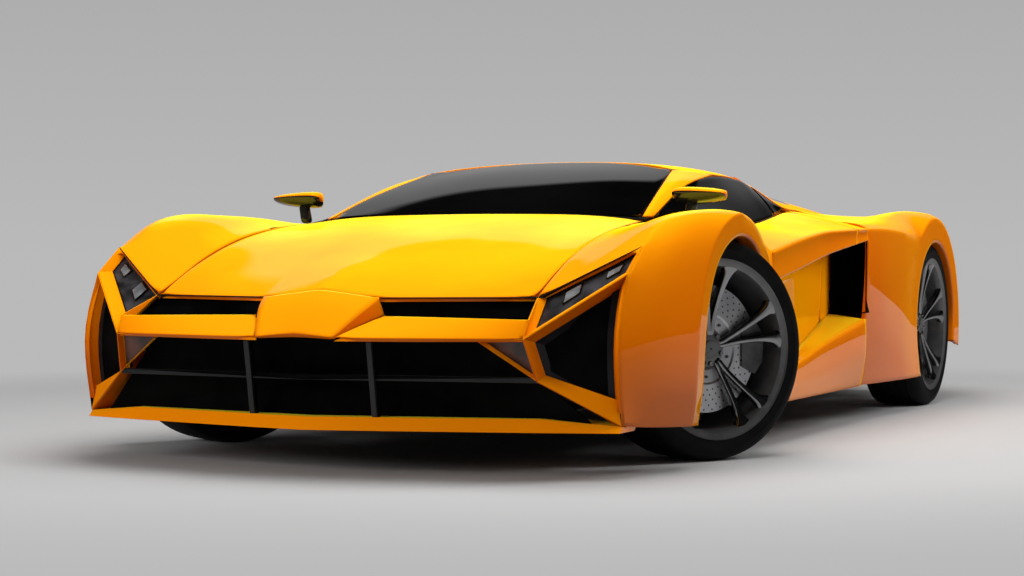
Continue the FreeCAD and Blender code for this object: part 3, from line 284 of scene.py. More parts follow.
# ---------------------------------------------------------------- mesh tools
CREASE = "crease_edge"
CORNER = "crease_vert"
SKIN_LEVELS = 3
JOIN_DISTANCE = 0.0008
PIN_DISTANCE = 0.002
CORNER_LIMIT = math.radians(35)
BORDER_CREASE = 0.9
CHORD_ANGLE = math.radians(0.6)
WELD_DISTANCE = 0.00002


def new_object(name, bm, material, smooth=True):
    """Object of a bmesh, with one material."""
    mesh = bpy.data.meshes.new(name)
    bm.to_mesh(mesh)
    bm.free()
    for polygon in mesh.polygons:
        polygon.use_smooth = smooth
    obj = bpy.data.objects.new(name, mesh)
    scene.collection.objects.link(obj)
    paint_object(obj, material)
    return obj


def closed_object(name, bm, material, smooth=True):
    """Object of a bmesh whose faces are first turned outwards."""
    bmesh.ops.recalc_face_normals(bm, faces=bm.faces)
    return new_object(name, bm, material, smooth)


def join_rings(bm, first, second):
    """Four-sided faces between two closed rings of vertices."""
    for i in range(len(first)):
        j = (i + 1) % len(first)
        bm.faces.new((first[i], first[j], second[j], second[i]))


def flipped(point, side):
    """Point on the left side, or its mirror image for side -1."""
    return Vector((point[0] * side, point[1], point[2]))


def add_grid(bm, rows, side, creases):
    """Quads through rows of points. creases holds {("row" or "col", index): weights}."""
    layer = bm.edges.layers.float.get(CREASE) or bm.edges.layers.float.new(CREASE)
    verts = [[bm.verts.new(flipped(p, side)) for p in row] for row in rows]
    for i in range(len(rows) - 1):
        for j in range(len(rows[0]) - 1):
            quad = (verts[i][j], verts[i][j + 1], verts[i + 1][j + 1], verts[i + 1][j])
            bm.faces.new(quad if side > 0 else quad[::-1])
    for (kind, index), weights in (creases or {}).items():
        line = verts[index] if kind == "row" else [row[index] for row in verts]
        for k, (a, b) in enumerate(zip(line[:-1], line[1:])):
            weight = weights[min(k, len(weights) - 1)] if isinstance(weights, tuple) else weights
            edge = bm.edges.get((a, b))
            if edge:
                edge[layer] = weight


def pin_corners(bm, pins):
    """Keeps the corners of a skin's open border sharp under subdivision, and given points."""
    layer = bm.verts.layers.float.get(CORNER) or bm.verts.layers.float.new(CORNER)
    for vert in bm.verts:
        ends = [edge.other_vert(vert).co - vert.co for edge in vert.link_edges if edge.is_boundary]
        sharp = len(ends) == 2 and ends[0].angle(-ends[1]) > CORNER_LIMIT
        if sharp or any((vert.co - pin).length < PIN_DISTANCE for pin in pins):
            vert[layer] = 1.0


def fold_border(bm, depth):
    """Turns the open border of a skin inwards, so that its edge has thickness."""
    layer = bm.edges.layers.float[CREASE]
    bm.normal_update()
    border = [edge for edge in bm.edges if edge.is_boundary]
    inward = {vert: -vert.normal.copy() for edge in border for vert in edge.verts}
    made = bmesh.ops.extrude_edge_only(bm, edges=border)["geom"]
    new_verts = [item for item in made if isinstance(item, bmesh.types.BMVert)]
    for vert in new_verts:
        old = min(inward, key=lambda other: (other.co - vert.co).length_squared)
        vert.co += inward[old] * depth
    for edge in border:
        edge[layer] = BORDER_CREASE


def skin_piece(name, grids, material, side=1, outward=(0, 0, 1), fold=0.014, pins=()):
    """Smooth panel of joined grids, with folded borders and creased feature lines.

    grids holds (rows, creases) pairs; points that meet are joined, pins stay sharp."""
    bm = bmesh.new()
    for rows, creases in grids:
        add_grid(bm, rows, side, creases)
    bmesh.ops.remove_doubles(bm, verts=bm.verts, dist=JOIN_DISTANCE)
    bmesh.ops.recalc_face_normals(bm, faces=bm.faces)
    hint = flipped(Vector(outward), side)
    total = sum((face.normal * face.calc_area() for face in bm.faces), Vector())
    if total.dot(hint) < 0:
        bmesh.ops.reverse_faces(bm, faces=bm.faces)
    pin_corners(bm, [flipped(pin, side) for pin in pins])
    fold_border(bm, fold)
    obj = new_object(name, bm, material)
    subdivide(obj, SKIN_LEVELS)
    return obj


def subdivide(obj, levels):
    """Subdivision surface of a given depth."""
    modifier = obj.modifiers.new("subdivide", "SUBSURF")
    modifier.levels = levels
    modifier.render_levels = levels


def bevelled_copy(node, material, width, angle=25):
    """Copy of a CAD node with clean flat faces and rounded edges, in the node's place."""
    bm = bmesh.new()
    bm.from_mesh(frame["nodes"][node].data)
    bmesh.ops.remove_doubles(bm, verts=bm.verts, dist=WELD_DISTANCE)
    bmesh.ops.dissolve_limit(bm, angle_limit=CHORD_ANGLE, verts=bm.verts, edges=bm.edges)
    obj = new_object(node + "_skin", bm, material)
    add_bevel(obj, width, angle)
    seat(obj, node)


NODE_BODY = {node: body for body, nodes in frame["record"]["behaviour"]["bodies"].items()
             for node in nodes}


def between(a, b, share):
    """Point part of the way from a to b."""
    return a + (b - a) * share


def limit_line(points, steps):
    """Points along the smooth line that a creased edge takes, its two ends kept."""
    ends = [points[0] * 2 - points[1]] + list(points) + [points[-1] * 2 - points[-2]]
    line = []
    for a, b, c, d in zip(ends, ends[1:], ends[2:], ends[3:]):
        for k in range(steps):
            t = k / steps
            line.append((a * (1 - t) ** 3 + b * (3 * t ** 3 - 6 * t ** 2 + 4)
                         + c * (-3 * t ** 3 + 3 * t ** 2 + 3 * t + 1) + d * t ** 3) / 6)
    return line + [points[-1].copy()]


def inset_loop(points, width, push):
    """Closed loop drawn in by a width in its own plane, then moved by the vector push."""
    turned = list(points[1:]) + [points[0]]
    normal = sum((p.cross(q) for p, q in zip(points, turned)), Vector()).normalized()
    moved = []
    for i, point in enumerate(points):
        before = normal.cross((point - points[i - 1]).normalized())
        after = normal.cross((turned[i] - point).normalized())
        moved.append(point + (before + after) * (width / (1 + before.dot(after))) + push)
    return moved


def ring_walls(loop, inner):
    """Four-sided faces between a loop and the same loop drawn in or moved."""
    count = len(loop)
    return [[loop[i], loop[(i + 1) % count], inner[(i + 1) % count], inner[i]]
            for i in range(count)]


def add_bevel(obj, width, angle=25):
    """Rounded edges, two segments wide, on an object's sharp edges."""
    bevel = obj.modifiers.new("bevel", "BEVEL")
    bevel.width = width
    bevel.segments = 2
    bevel.limit_method = "ANGLE"
    bevel.angle_limit = math.radians(angle)
    bevel.use_clamp_overlap = True
    bevel.harden_normals = True
    obj.data.set_sharp_from_angle(angle=math.radians(angle + 5))


WALL_THICKNESS = 0.004
WALL_BEVEL = 0.0015
WALL_JOIN_DISTANCE = 0.0004


def walls(name, faces, material, side):
    """Thin bevelled walls of the fixed body, one for each loop of points."""
    bm = bmesh.new()
    for loop in faces:
        bm.faces.new([bm.verts.new(flipped(p, side)) for p in loop])
    bmesh.ops.remove_doubles(bm, verts=bm.verts, dist=WALL_JOIN_DISTANCE)
    obj = closed_object(name, bm, material)
    shell = obj.modifiers.new("thickness", "SOLIDIFY")
    shell.thickness = WALL_THICKNESS
    shell.offset = 0
    shell.use_even_offset = True
    add_bevel(obj, WALL_BEVEL)
    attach(obj, "root")


def plate(name, corners, depth, material, side=1, bevel=0.002, body="root"):
    """Bevelled plate: a loop of corners given thickness along a vector."""
    bm = bmesh.new()
    outer = [bm.verts.new(flipped(p, side)) for p in corners]
    inner = [bm.verts.new(flipped(p + depth, side)) for p in corners]
    bm.faces.new(outer)
    bm.faces.new(inner[::-1])
    for i in range(len(corners)):
        j = (i + 1) % len(corners)
        bm.faces.new((outer[j], outer[i], inner[i], inner[j]))
    obj = closed_object(name, bm, material)
    add_bevel(obj, bevel, 30)
    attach(obj, body)
    return obj


def seat(obj, node):
    """Lets a piece ride on its node's body and stand for the node."""
    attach(obj, NODE_BODY[node])
    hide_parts(node)


# ---------------------------------------------------------------- front fenders
ARCH_RADIUS = 0.353
FRONT_RING = 0.425
REAR_RING = 0.458
VALLEY_X = 0.6275

ARCH_INSET = 0.001
BAND_RETURN = Vector((0.05, 0, 0))
SILL_LOW_Z, CHIN_LOW_Z = 0.150, 0.128
# ring angles below this one lie at the body's lower edge
LOW_ANGLE = -20

# stations round the front arch, columns: ring angle from ahead, x, y from the axle and z of
# the fender's outer edge, bulge of the cheek, x of the ring
FRONT_STATIONS = (
    (-31, 0.884, -0.746, 0.152, 0.010, 0.960),
    (-18, 0.887, -0.772, 0.267, 0.020, 0.990),
    (5, 0.887, -0.793, 0.411, 0.028, 1.0),
    (25, 0.886, -0.708, 0.581, 0.028, 1.0),
    (42, 0.887, -0.590, 0.660, 0.026, 1.0),
    (52, 0.886, -0.480, 0.709, 0.024, 1.0),
    (66, 0.886, -0.361, 0.755, 0.020, 1.0),
    (84, 0.886, -0.177, 0.773, 0.016, 1.0),
    (98, 0.886, 0.020, 0.774, 0.014, 1.0),
    (112, 0.886, 0.200, 0.768, 0.012, 1.0),
    (128, 0.886, 0.330, 0.754, 0.010, 0.997),
    (144, 0.886, 0.486, 0.722, 0.004, 0.990),
    (156, 0.948, 0.486, 0.645, 0, 0.984),
    (167, 0.953, 0.486, 0.550, 0, 0.978),
    (175, 0.944, 0.486, 0.510, 0, 0.974),
    (192, 0.946, 0.486, 0.300, 0, 0.968),
    (208, 0.950, 0.486, 0.150, 0, 0.962),
)
# y from the axle and z of the crown's inner edge beside the lid, from the lamp to the door
FRONT_VALLEY = ((-0.762, 0.513), (-0.560, 0.607), (-0.420, 0.657), (-0.230, 0.705),
                (0.0, 0.733), (0.200, 0.746), (0.340, 0.746), (0.486, 0.744))
LAMP_STATION = 4
BULGE_CENTRE = Vector((0.45, FRONT_HUB.y, HUB_Z))
LEAST_OUTWARD = 0.35


def ring_point(hub, radius, angle, x):
    """Point on a circle about a hub, angle from ahead upwards."""
    turn = math.radians(angle)
    return Vector((x, hub.y - radius * math.cos(turn), hub.z + radius * math.sin(turn)))


def bulged(a, b, share, amount):
    """Point between a and b, moved out of the car by a bulge."""
    point = between(a, b, share)
    away = point - BULGE_CENTRE
    away.x = max(away.x, LEAST_OUTWARD)
    return point + away.normalized() * amount


def front_fender(side, label):
    """Fender with its crown, cheek and arch band."""
    cheek, band = [], []
    for angle, x, y, z, bulge, ring_x in FRONT_STATIONS:
        edge = at_front(x, y, z)
        ring = ring_point(FRONT_HUB, FRONT_RING, angle, ring_x)
        if angle < LOW_ANGLE:
            ring.z = CHIN_LOW_Z
        cheek.append([edge, bulged(edge, ring, 0.35, bulge * 0.8),
                      bulged(edge, ring, 0.72, bulge * 0.45), ring])
        lip = ring_point(FRONT_HUB, ARCH_RADIUS, angle, ring_x - ARCH_INSET)
        if angle in (FRONT_STATIONS[0][0], FRONT_STATIONS[-1][0]):
            lip.z = ring.z if angle < 0 else SILL_LOW_Z
        band.append([ring, lip, lip - BAND_RETURN])
    crown = []
    for (y, z), station in zip(FRONT_VALLEY, cheek[LAMP_STATION:]):
        low, crest = at_front(VALLEY_X, y, z), station[0]
        hollow = 0 if station is cheek[LAMP_STATION] else 1
        first = between(low, crest, 0.36)
        first.z -= 0.006 * hollow
        second = between(low, crest, 0.76)
        second.z += 0.008 * hollow
        crown.append([low, first, second, crest])
    grids = ((cheek, {("col", 0): (1, 1, 1, 1, 0.7, 0.35, 0.1, 0), ("col", 3): 1.0,
                      ("row", 11): (0.3, 0.3, 0.3), ("row", 12): (0.9, 0.6, 0.3),
                      ("row", 13): (0.8, 0.5, 0.2)}),
             (band, {("col", 1): 0.9}),
             (crown, {("row", 0): 1.0}))
    piece = skin_piece("fender_" + label, grids, PAINT, side, outward=(1, 0, 0.6),
                       pins=[cheek[k][0] for k in (0, 3, LAMP_STATION)])
    seat(piece, "front_fender_" + label)


for side, label in SIDES:
    front_fender(side, label)

# ---------------------------------------------------------------- front lid
# half cross-sections, columns: x, y from the axle, z; the second point is the bulge's crease
LID_SECTIONS = (
    ((0, -0.880, 0.536), (0.190, -0.880, 0.513), (0.330, -0.842, 0.514),
     (0.480, -0.800, 0.515), (0.624, -0.757, 0.516)),
    ((0, -0.745, 0.588), (0.203, -0.745, 0.560), (0.330, -0.735, 0.553),
     (0.480, -0.715, 0.550), (0.624, -0.680, 0.553)),
    ((0, -0.600, 0.633), (0.216, -0.600, 0.607), (0.345, -0.600, 0.597),
     (0.485, -0.590, 0.593), (0.624, -0.560, 0.606)),
    ((0, -0.300, 0.712), (0.250, -0.300, 0.694), (0.370, -0.300, 0.688),
     (0.500, -0.300, 0.684), (0.623, -0.300, 0.690)),
    ((0, 0.0, 0.758), (0.285, 0, 0.749), (0.390, 0, 0.744), (0.510, 0, 0.738),
     (0.620, 0, 0.734)),
    ((0, 0.185, 0.775), (0.300, 0.185, 0.771), (0.400, 0.185, 0.768),
     (0.510, 0.185, 0.760), (0.606, 0.185, 0.746)),
)


def whole_row(section):
    """Cross-section over both sides, from right to left."""
    right = [at_front(-x, y, z) for x, y, z in reversed(section[1:])]
    return right + [at_front(x, y, z) for x, y, z in section]


def front_lid():
    """Bonnet with a raised middle whose creases fade rearwards."""
    rows = [whole_row(section) for section in LID_SECTIONS]
    fading = (1.0, 0.9, 0.75, 0.5, 0.3)
    ridge = (0.8, 0.4, 0.15, 0, 0)
    creases = {("col", 3): fading, ("col", 4): ridge, ("col", 5): fading}
    piece = skin_piece("bonnet", ((rows, creases),), PAINT,
                       pins=[p for p in rows[0] if abs(p.x) < 0.2])
    seat(piece, "front_lid")


front_lid()

# ---------------------------------------------------------------- body sides
# columns: y, panel x, ledge x, sill crease x and z, scoop line z, shoulder z, shoulder x
SIDE_SECTIONS = (
    (-0.860, 0.945, 0.945, 0.955, 0.226, 0.548, 0.645, 0.950),
    (-0.520, 0.918, 0.928, 0.952, 0.267, 0.592, 0.690, 0.950),
    (-0.200, 0.880, 0.885, 0.955, 0.326, 0.640, 0.722, 0.955),
    (0.300, 0.822, 0.832, 0.970, 0.396, 0.694, 0.735, 0.975),
)
# the belt under the side glass, columns: y, x, z
BELT = ((-0.860, 0.722, 0.745), (-0.320, 0.722, 0.745), (-0.014, 0.704, 0.782),
        (0.144, 0.684, 0.805), (0.306, 0.700, 0.803))
BELT_Z = 0.745
DOOR_FRONT_Y = at_front(0, 0.500, 0).y
DOOR_LOW_Y = at_rear(0, -1.380, 0).y
DOOR_TOP_Y = at_rear(0, -1.260, 0).y
SCOOP_Y = at_rear(0, -1.150, 0).y
SEAM_FRONT_Z, SEAM_LOW_Z = 0.245, 0.385


def table_row(table, y):
    """Values of a table at a place along the car, between its rows."""
    for first, second in zip(table[:-1], table[1:]):
        if y <= second[0] or second is table[-1]:
            share = (y - first[0]) / (second[0] - first[0])
            return [a + (b - a) * share for a, b in zip(first[1:], second[1:])]


def seam_z(y):
    """Height of the door's lower seam."""
    slope = (SEAM_LOW_Z - SEAM_FRONT_Z) / (DOOR_LOW_Y - DOOR_FRONT_Y)
    return SEAM_FRONT_Z + slope * (y - DOOR_FRONT_Y)


def side_section(y, low_z):
    """Points of the side from the belt down to low_z."""
    panel_x, _, _, _, scoop_z, shoulder_z, shoulder_x = table_row(SIDE_SECTIONS, y)
    belt_x, belt_z = table_row(BELT, y)
    waist = (belt_x + (shoulder_x - belt_x) * 0.5, belt_z - (belt_z - shoulder_z) * 0.44)
    tuck = (shoulder_x - 0.004, (shoulder_z + scoop_z) / 2)
    outline = ((belt_x, belt_z), waist, (shoulder_x, shoulder_z), tuck,
               (shoulder_x + 0.003, scoop_z), (panel_x - 0.002, scoop_z - 0.022),
               (panel_x, (scoop_z + low_z) / 2), (panel_x, low_z))
    return [Vector((x, y, z)) for x, z in outline]


def door_rear_y(z):
    """Slanted rear edge of the door at a height."""
    share = min(1, (z - SEAM_LOW_Z) / (BELT_Z - SEAM_LOW_Z))
    return DOOR_LOW_Y + (DOOR_TOP_Y - DOOR_LOW_Y) * share


def slanted_section(offset):
    """Section along the door's slanted rear edge, moved back by an offset."""
    rough = side_section((DOOR_LOW_Y + DOOR_TOP_Y) / 2, SEAM_LOW_Z)
    points = []
    for index, point in enumerate(rough):
        y = door_rear_y(point.z) + offset
        points.append(side_section(y, SEAM_LOW_Z)[index])
    return points


SIDE_CREASES = {("col", 2): 0.6, ("col", 4): 1.0, ("col", 5): 0.9}
DOOR_STATIONS = (-0.860, -0.700, -0.520, -0.360, -0.200, -0.060)
SILL_STATIONS = (-0.860, -0.690, -0.520, -0.360, -0.200, 0.050, 0.300)


def door(side, node):
    """Door skin with its shoulder, scoop line and recessed panel."""
    rows = [side_section(y, seam_z(y)) for y in DOOR_STATIONS]
    rows.append(slanted_section(0))
    piece = skin_piece(node + "_skin", ((rows, SIDE_CREASES),), PAINT, side,
                       outward=(1, 0, 0.2))
    seat(piece, node)


def sill(side, label):
    """Sill under the door with its rising ledge."""
    rows = []
    for y in SILL_STATIONS:
        _, ledge_x, crease_x, crease_z, _, _, _ = table_row(SIDE_SECTIONS, y)
        top_z = seam_z(y) - GAP
        outline = ((ledge_x - 0.02, top_z), (ledge_x, top_z), (crease_x, crease_z),
                   (crease_x + 0.004, (crease_z + 0.140) / 2), (0.950, 0.140), (0.900, 0.138))
        rows.append([Vector((x, y, z)) for x, z in outline])
    creases = {("col", 1): 0.5, ("col", 2): 0.95, ("col", 4): 0.9}
    return skin_piece("sill_" + label, ((rows, creases),), PAINT, side, outward=(1, 0, 0.2))


for side, label in SIDES:
    door(side, "door_" + label)
    piece = sill(side, label)
    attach(piece, "root")
    if side > 0:
        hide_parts("side_sills")

# ---------------------------------------------------------------- rear quarters
LID_EDGE_X = 0.566
CREST_X = 0.870
FLANK_Y = -1.144
# the lid's edge runs rearward faster than the crest behind this place
TAIL_START, TAIL_STRETCH = 0.45, 1.55
VALLEY_REAR_X = 0.722
RING_X = 0.980
# rows of the haunch, columns: y of the crest from the axle, crest z, lid edge z, valley z,
# and the side point as a ring angle or as x, y and z
HAUNCH = (
    (FLANK_Y, 0.765, 0.860, 0.800, (0.975, FLANK_Y, 0.735)),
    (-0.950, 0.770, 0.830, 0.796, (0.982, -0.950, 0.740)),
    (-0.700, 0.783, 0.814, 0.794, (0.985, -0.720, 0.734)),
    (-0.480, 0.806, 0.811, 0.795, (0.985, -0.500, 0.722)),
    (-0.300, 0.826, 0.810, 0.796, 50),
    (-0.180, 0.834, 0.809, 0.799, 65),
    (-0.020, 0.831, 0.808, 0.796, 80),
    (0.130, 0.817, 0.806, 0.789, 100),
    (0.300, 0.790, 0.800, 0.777, 118),
    (0.460, 0.757, 0.788, 0.765, 135),
    (0.600, 0.706, 0.768, 0.750, 150),
    (0.700, 0.620, None, None, 166),
    (0.735, 0.500, None, None, 180),
    (0.735, 0.300, None, None, 194),
)
# stations of the flank under the shoulder, columns: ring angle, x and z of its front edge
FLANK = ((-27, 0.922, 0.140), (-12, 0.948, 0.290), (5, 0.967, 0.430), (22, 0.975, 0.560),
         (36, 0.977, 0.665))
LOWEST_LIP_ANGLE = -36
# corners of the scoop's mouth, as x and z
SCOOP_MOUTH = ((0.828, 0.405), (0.966, 0.420), (0.968, 0.700), (0.830, 0.668))
SCOOP_DEPTH = Vector((0, 0.190, 0))
SHEET = Vector((0, 0.004, 0))


def haunch_side(spec):
    """Side point of a haunch row: on the arch ring or on the shoulder's crease."""
    if isinstance(spec, tuple):
        return at_rear(*spec)
    return ring_point(REAR_HUB, REAR_RING, spec, RING_X)


def rear_band(ring, angle):
    """Ring, opening and inner edge of the rear arch at a ring angle."""
    lip = ring_point(REAR_HUB, ARCH_RADIUS, angle, RING_X - ARCH_INSET)
    return [ring, lip, lip - BAND_RETURN]


def rear_quarter(side, label):
    """Buttress, haunch, flank and arch band of the rear body side."""
    outer, inner = [], []
    for y, crest_z, lid_z, valley_z, spec in HAUNCH:
        crest = at_rear(CREST_X, y, crest_z)
        edge = haunch_side(spec)
        shoulder = between(crest, edge, 0.58) + Vector((0.012, 0, 0.010))
        outer.append([crest, shoulder, edge])
        if lid_z:
            tail = max(0, y - TAIL_START) * TAIL_STRETCH
            lid_point = at_rear(LID_EDGE_X, y + tail, lid_z)
            valley = at_rear(VALLEY_REAR_X, y + tail * 0.9, valley_z)
            slope = between(valley, crest, 0.5) - Vector((0, 0, 0.008))
            inner.append([lid_point, valley, slope, crest])
    flank, band = [], []
    shoulder_line = [haunch_side(row[4]) for row in HAUNCH[:5]]
    for angle, x, z in FLANK:
        front = at_rear(x, FLANK_Y, z)
        ring = ring_point(REAR_HUB, REAR_RING, angle, RING_X)
        row = [front]
        for share in (0.27, 0.52, 0.78):
            row.append(between(front, ring, share) + Vector((0.010, 0, 0)))
        flank.append(row + [ring])
        band.append(rear_band(ring, LOWEST_LIP_ANGLE if angle < LOW_ANGLE else angle))
    flank.append(shoulder_line)
    for row in HAUNCH[4:]:
        band.append(rear_band(haunch_side(row[4]), row[4]))
    rows = [slanted_section(GAP * 0.2)]
    rows += [side_section(y, seam_z(y) - GAP) for y in (0.215, SCOOP_Y + 0.004)]
    grids = ((outer, {("col", 2): (0.9, 0.8, 0.5, 0.3, 0.9)}),
             (inner, None),
             (flank, {("row", 5): (0.9, 0.8, 0.5, 0.3)}),
             (band, {("col", 0): 0.9, ("col", 1): 0.9}))
    piece = skin_piece("quarter_" + label, grids, PAINT, side, outward=(1, 0, 0.6))
    seat(piece, "rear_quarter_" + label)
    front = skin_piece("scoop_side_" + label, ((rows, SIDE_CREASES),), PAINT, side,
                       outward=(1, 0, 0.2))
    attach(front, "root")
    # black lining and back plate of the scoop: painted shade in its mouth
    mouth = [Vector((x, SCOOP_Y + 0.002, z)) for x, z in SCOOP_MOUTH]
    lining = ring_walls(mouth, [p + SCOOP_DEPTH for p in mouth])
    walls("scoop_shade_lining_" + label, lining, BLACK_AND_PAINTED_SHADE, side)
    plate("scoop_shade_back_" + label, [p + SCOOP_DEPTH for p in mouth], SHEET, BLACK_AND_PAINTED_SHADE, side)


for side, label in SIDES:
    rear_quarter(side, label)

# ---------------------------------------------------------------- nose, lamps and grille
SLOT_IN_TOP = at_front(0.192, -0.884, 0.511)
SLOT_IN_LOW = at_front(0.209, -0.891, 0.461)
SLOT_OUT_TOP = at_front(0.634, -0.762, 0.513)
SLOT_OUT_LOW = at_front(0.668, -0.908, 0.455)
STAR = at_front(0.663, -0.938, 0.401)
LAMP_OUT_LOW = at_front(0.886, -0.708, 0.581)
LAMP_TOP = at_front(0.887, -0.590, 0.660)
CHIN_CORNER = at_front(0.884, -0.746, 0.152)
EDGE_HIGH = at_front(0.887, -0.793, 0.411)
EDGE_LOW = at_front(0.887, -0.772, 0.267)
DRL_IN = at_front(0.521, -0.935, 0.396)
DRL_LOW = at_front(0.684, -0.888, 0.282)
BEAK_TIP = at_front(0.126, -1.044, 0.402)
# rows of the beak, columns: y from the axle, half width, z of its side edge and of its ridge
BEAK = ((-0.8820, 0.190, 0.513, 0.536), (-0.930, 0.180, 0.487, 0.512),
        (-0.985, 0.156, 0.449, 0.469), (-1.044, 0.126, 0.402, 0.414))


def beak():
    """Pointed middle of the nose, with a soft ridge, sloping flanks and a blunt tip."""
    rows = []
    for k, (y, half, edge_z, ridge_z) in enumerate(BEAK):
        foot = between(SLOT_IN_LOW, BEAK_TIP, k / 3)
        foot.y = at_front(0, y, 0).y
        foot.z = min(foot.z, at_front(0, 0, edge_z - 0.006).z)
        right = [Vector((-foot.x, foot.y, foot.z)), at_front(-half, y, edge_z)]
        rows.append(right + [at_front(0, y, ridge_z), at_front(half, y, edge_z), foot])
    creases = {("col", 1): 1.0, ("col", 2): 0.9, ("col", 3): 1.0, ("row", 0): 1.0}
    piece = skin_piece("beak", ((rows, creases),), PAINT, pins=[rows[0][1], rows[0][3]])
    seat(piece, "nose_frame")


def opening(name, loop, width, push, panel_material, side, dark=()):
    """Sloping walls round an opening and the panel at their inner edge.

    dark names the walls that are drawn black: painted shade, as under an overhanging edge."""
    inner = inset_loop(loop, width, push)
    faces = ring_walls(loop, inner)
    painted = [wall for k, wall in enumerate(faces) if k not in dark]
    walls(name + "_walls", painted, PAINT, side)
    if dark:
        walls(name + "_painted_shade_brow", [faces[k] for k in dark], BLACK_GLOSS, side)
    depth = push * 0.15
    panel = plate(name + "_panel", [p + depth for p in inner], depth, panel_material, side,
                  bevel=0.001)
    return panel, inner


def on_quad(corners, u, v):
    """Point of a four-sided field, u along its first edge and v across."""
    near = between(corners[0], corners[1], u)
    far = between(corners[3], corners[2], u)
    return between(near, far, v)


def lens(name, field, spans, side):
    """Four-cornered reflector with a raised middle, set on the smoked lamp cover."""
    rim = [on_quad(field, u, v) + Vector((0, -0.002, 0)) for u, v in spans]
    centre = sum(rim, Vector()) / 4
    plate(name + "_frame", rim, Vector((0, 0.006, 0)), ALLOY_DARK, side)
    plate(name, [between(p, centre, 0.16) + Vector((0, -0.004, 0)) for p in rim],
          Vector((0, 0.006, 0)), LAMP_LENS, side, bevel=0.003)


def nose_side(side, label):
    """Shelf, slot, lamp, running lamp and intake of one side."""
    shelf = [[between(SLOT_IN_LOW, SLOT_OUT_LOW, k / 4), between(BEAK_TIP, STAR, k / 4)]
             for k in range(5)]
    shelf = [[a, between(a, b, 0.5) + Vector((0, 0, 0.002)), b] for a, b in shelf]
    skin = skin_piece("shelf_" + label, ((shelf, None),), PAINT, side, fold=0.012)
    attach(skin, "root")
    walls("slot_end_" + label, [[SLOT_OUT_TOP, SLOT_OUT_LOW, STAR]], PAINT, side)
    back = Vector((0, 0.060, 0))
    slot = [SLOT_IN_TOP, SLOT_OUT_TOP + Vector((0.02, 0, 0)),
            SLOT_OUT_LOW + Vector((0.02, 0.05, 0)), SLOT_IN_LOW]
    # the black sheet behind the slot is painted shade
    plate("slot_shade_back_" + label, [p + back for p in slot], SHEET, BLACK_AND_PAINTED_SHADE, side)
    walls("slot_roof_" + label, [[SLOT_IN_TOP, SLOT_OUT_TOP, SLOT_OUT_TOP + back,
                                  SLOT_IN_TOP + back]], BLACK_SATIN, side)
    # the lamp's upper wall, under the lid's edge, is drawn black: painted shade
    lamp, field = opening("lamp_" + label, [SLOT_OUT_TOP, LAMP_TOP, LAMP_OUT_LOW, STAR], 0.018,
                          Vector((-0.004, 0.040, 0)), LAMP_SMOKE, side, (0,))
    lens("lens_low_" + label, field, ((0.22, 0.12), (0.42, 0.10), (0.44, 0.55), (0.24, 0.62)),
         side)
    lens("lens_high_" + label, field, ((0.70, 0.20), (0.90, 0.22), (0.90, 0.60), (0.72, 0.58)),
         side)
    drl, _ = opening("running_lamp_" + label, [DRL_IN, STAR, DRL_LOW], 0.007,
                     Vector((0, 0.020, 0)), DRL_SMOKE, side)
    edge = limit_line([LAMP_OUT_LOW, EDGE_HIGH, EDGE_LOW, CHIN_CORNER], 3)
    # the intake's black inner panel is painted shade standing in for the opening
    intake, inner = opening("intake_" + label, edge + [DRL_LOW, STAR], 0.020,
                            Vector((-0.010, 0.045, 0)), BLACK_AND_PAINTED_SHADE, side)
    walls("intake_border_" + label,
          ring_walls(inner, inset_loop(inner, 0.022, SHEET)), BLACK_SATIN, side)
    return lamp, drl, intake


beak()
for piece, node in zip(nose_side(1, "left"), ("headlamps", "running_lamps", "side_intakes")):
    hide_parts(node)
nose_side(-1, "right")


def grille_bar(name, line, rise):
    """Flat bar along a line of points, as wide as the vector rise."""
    loop = [p - rise * 0.5 for p in line] + [p + rise * 0.5 for p in reversed(line)]
    plate(name, loop, Vector((0, 0.012, 0)), GRILLE_GREY)


bevelled_copy("front_grille", BLACK_AND_PAINTED_SHADE, 0.002)
grille_bar("grille_cross", [at_front(-0.684, -0.884, 0.285), at_front(0, -0.970, 0.285),
                            at_front(0.684, -0.884, 0.285)], Vector((0, 0, 0.016)))
for side, label in SIDES:
    grille_bar("grille_upright_" + label,
               [at_front(0.2 * side, -0.934, 0.172), at_front(0.2 * side, -0.972, 0.388)],
               Vector((0.017, 0, 0)))
bevelled_copy("chin_lip", PAINT, 0.003)
bevelled_copy("side_ducts", BLACK_AND_PAINTED_SHADE, 0.002)
bevelled_copy("cowl", BLACK_SATIN, 0.003)

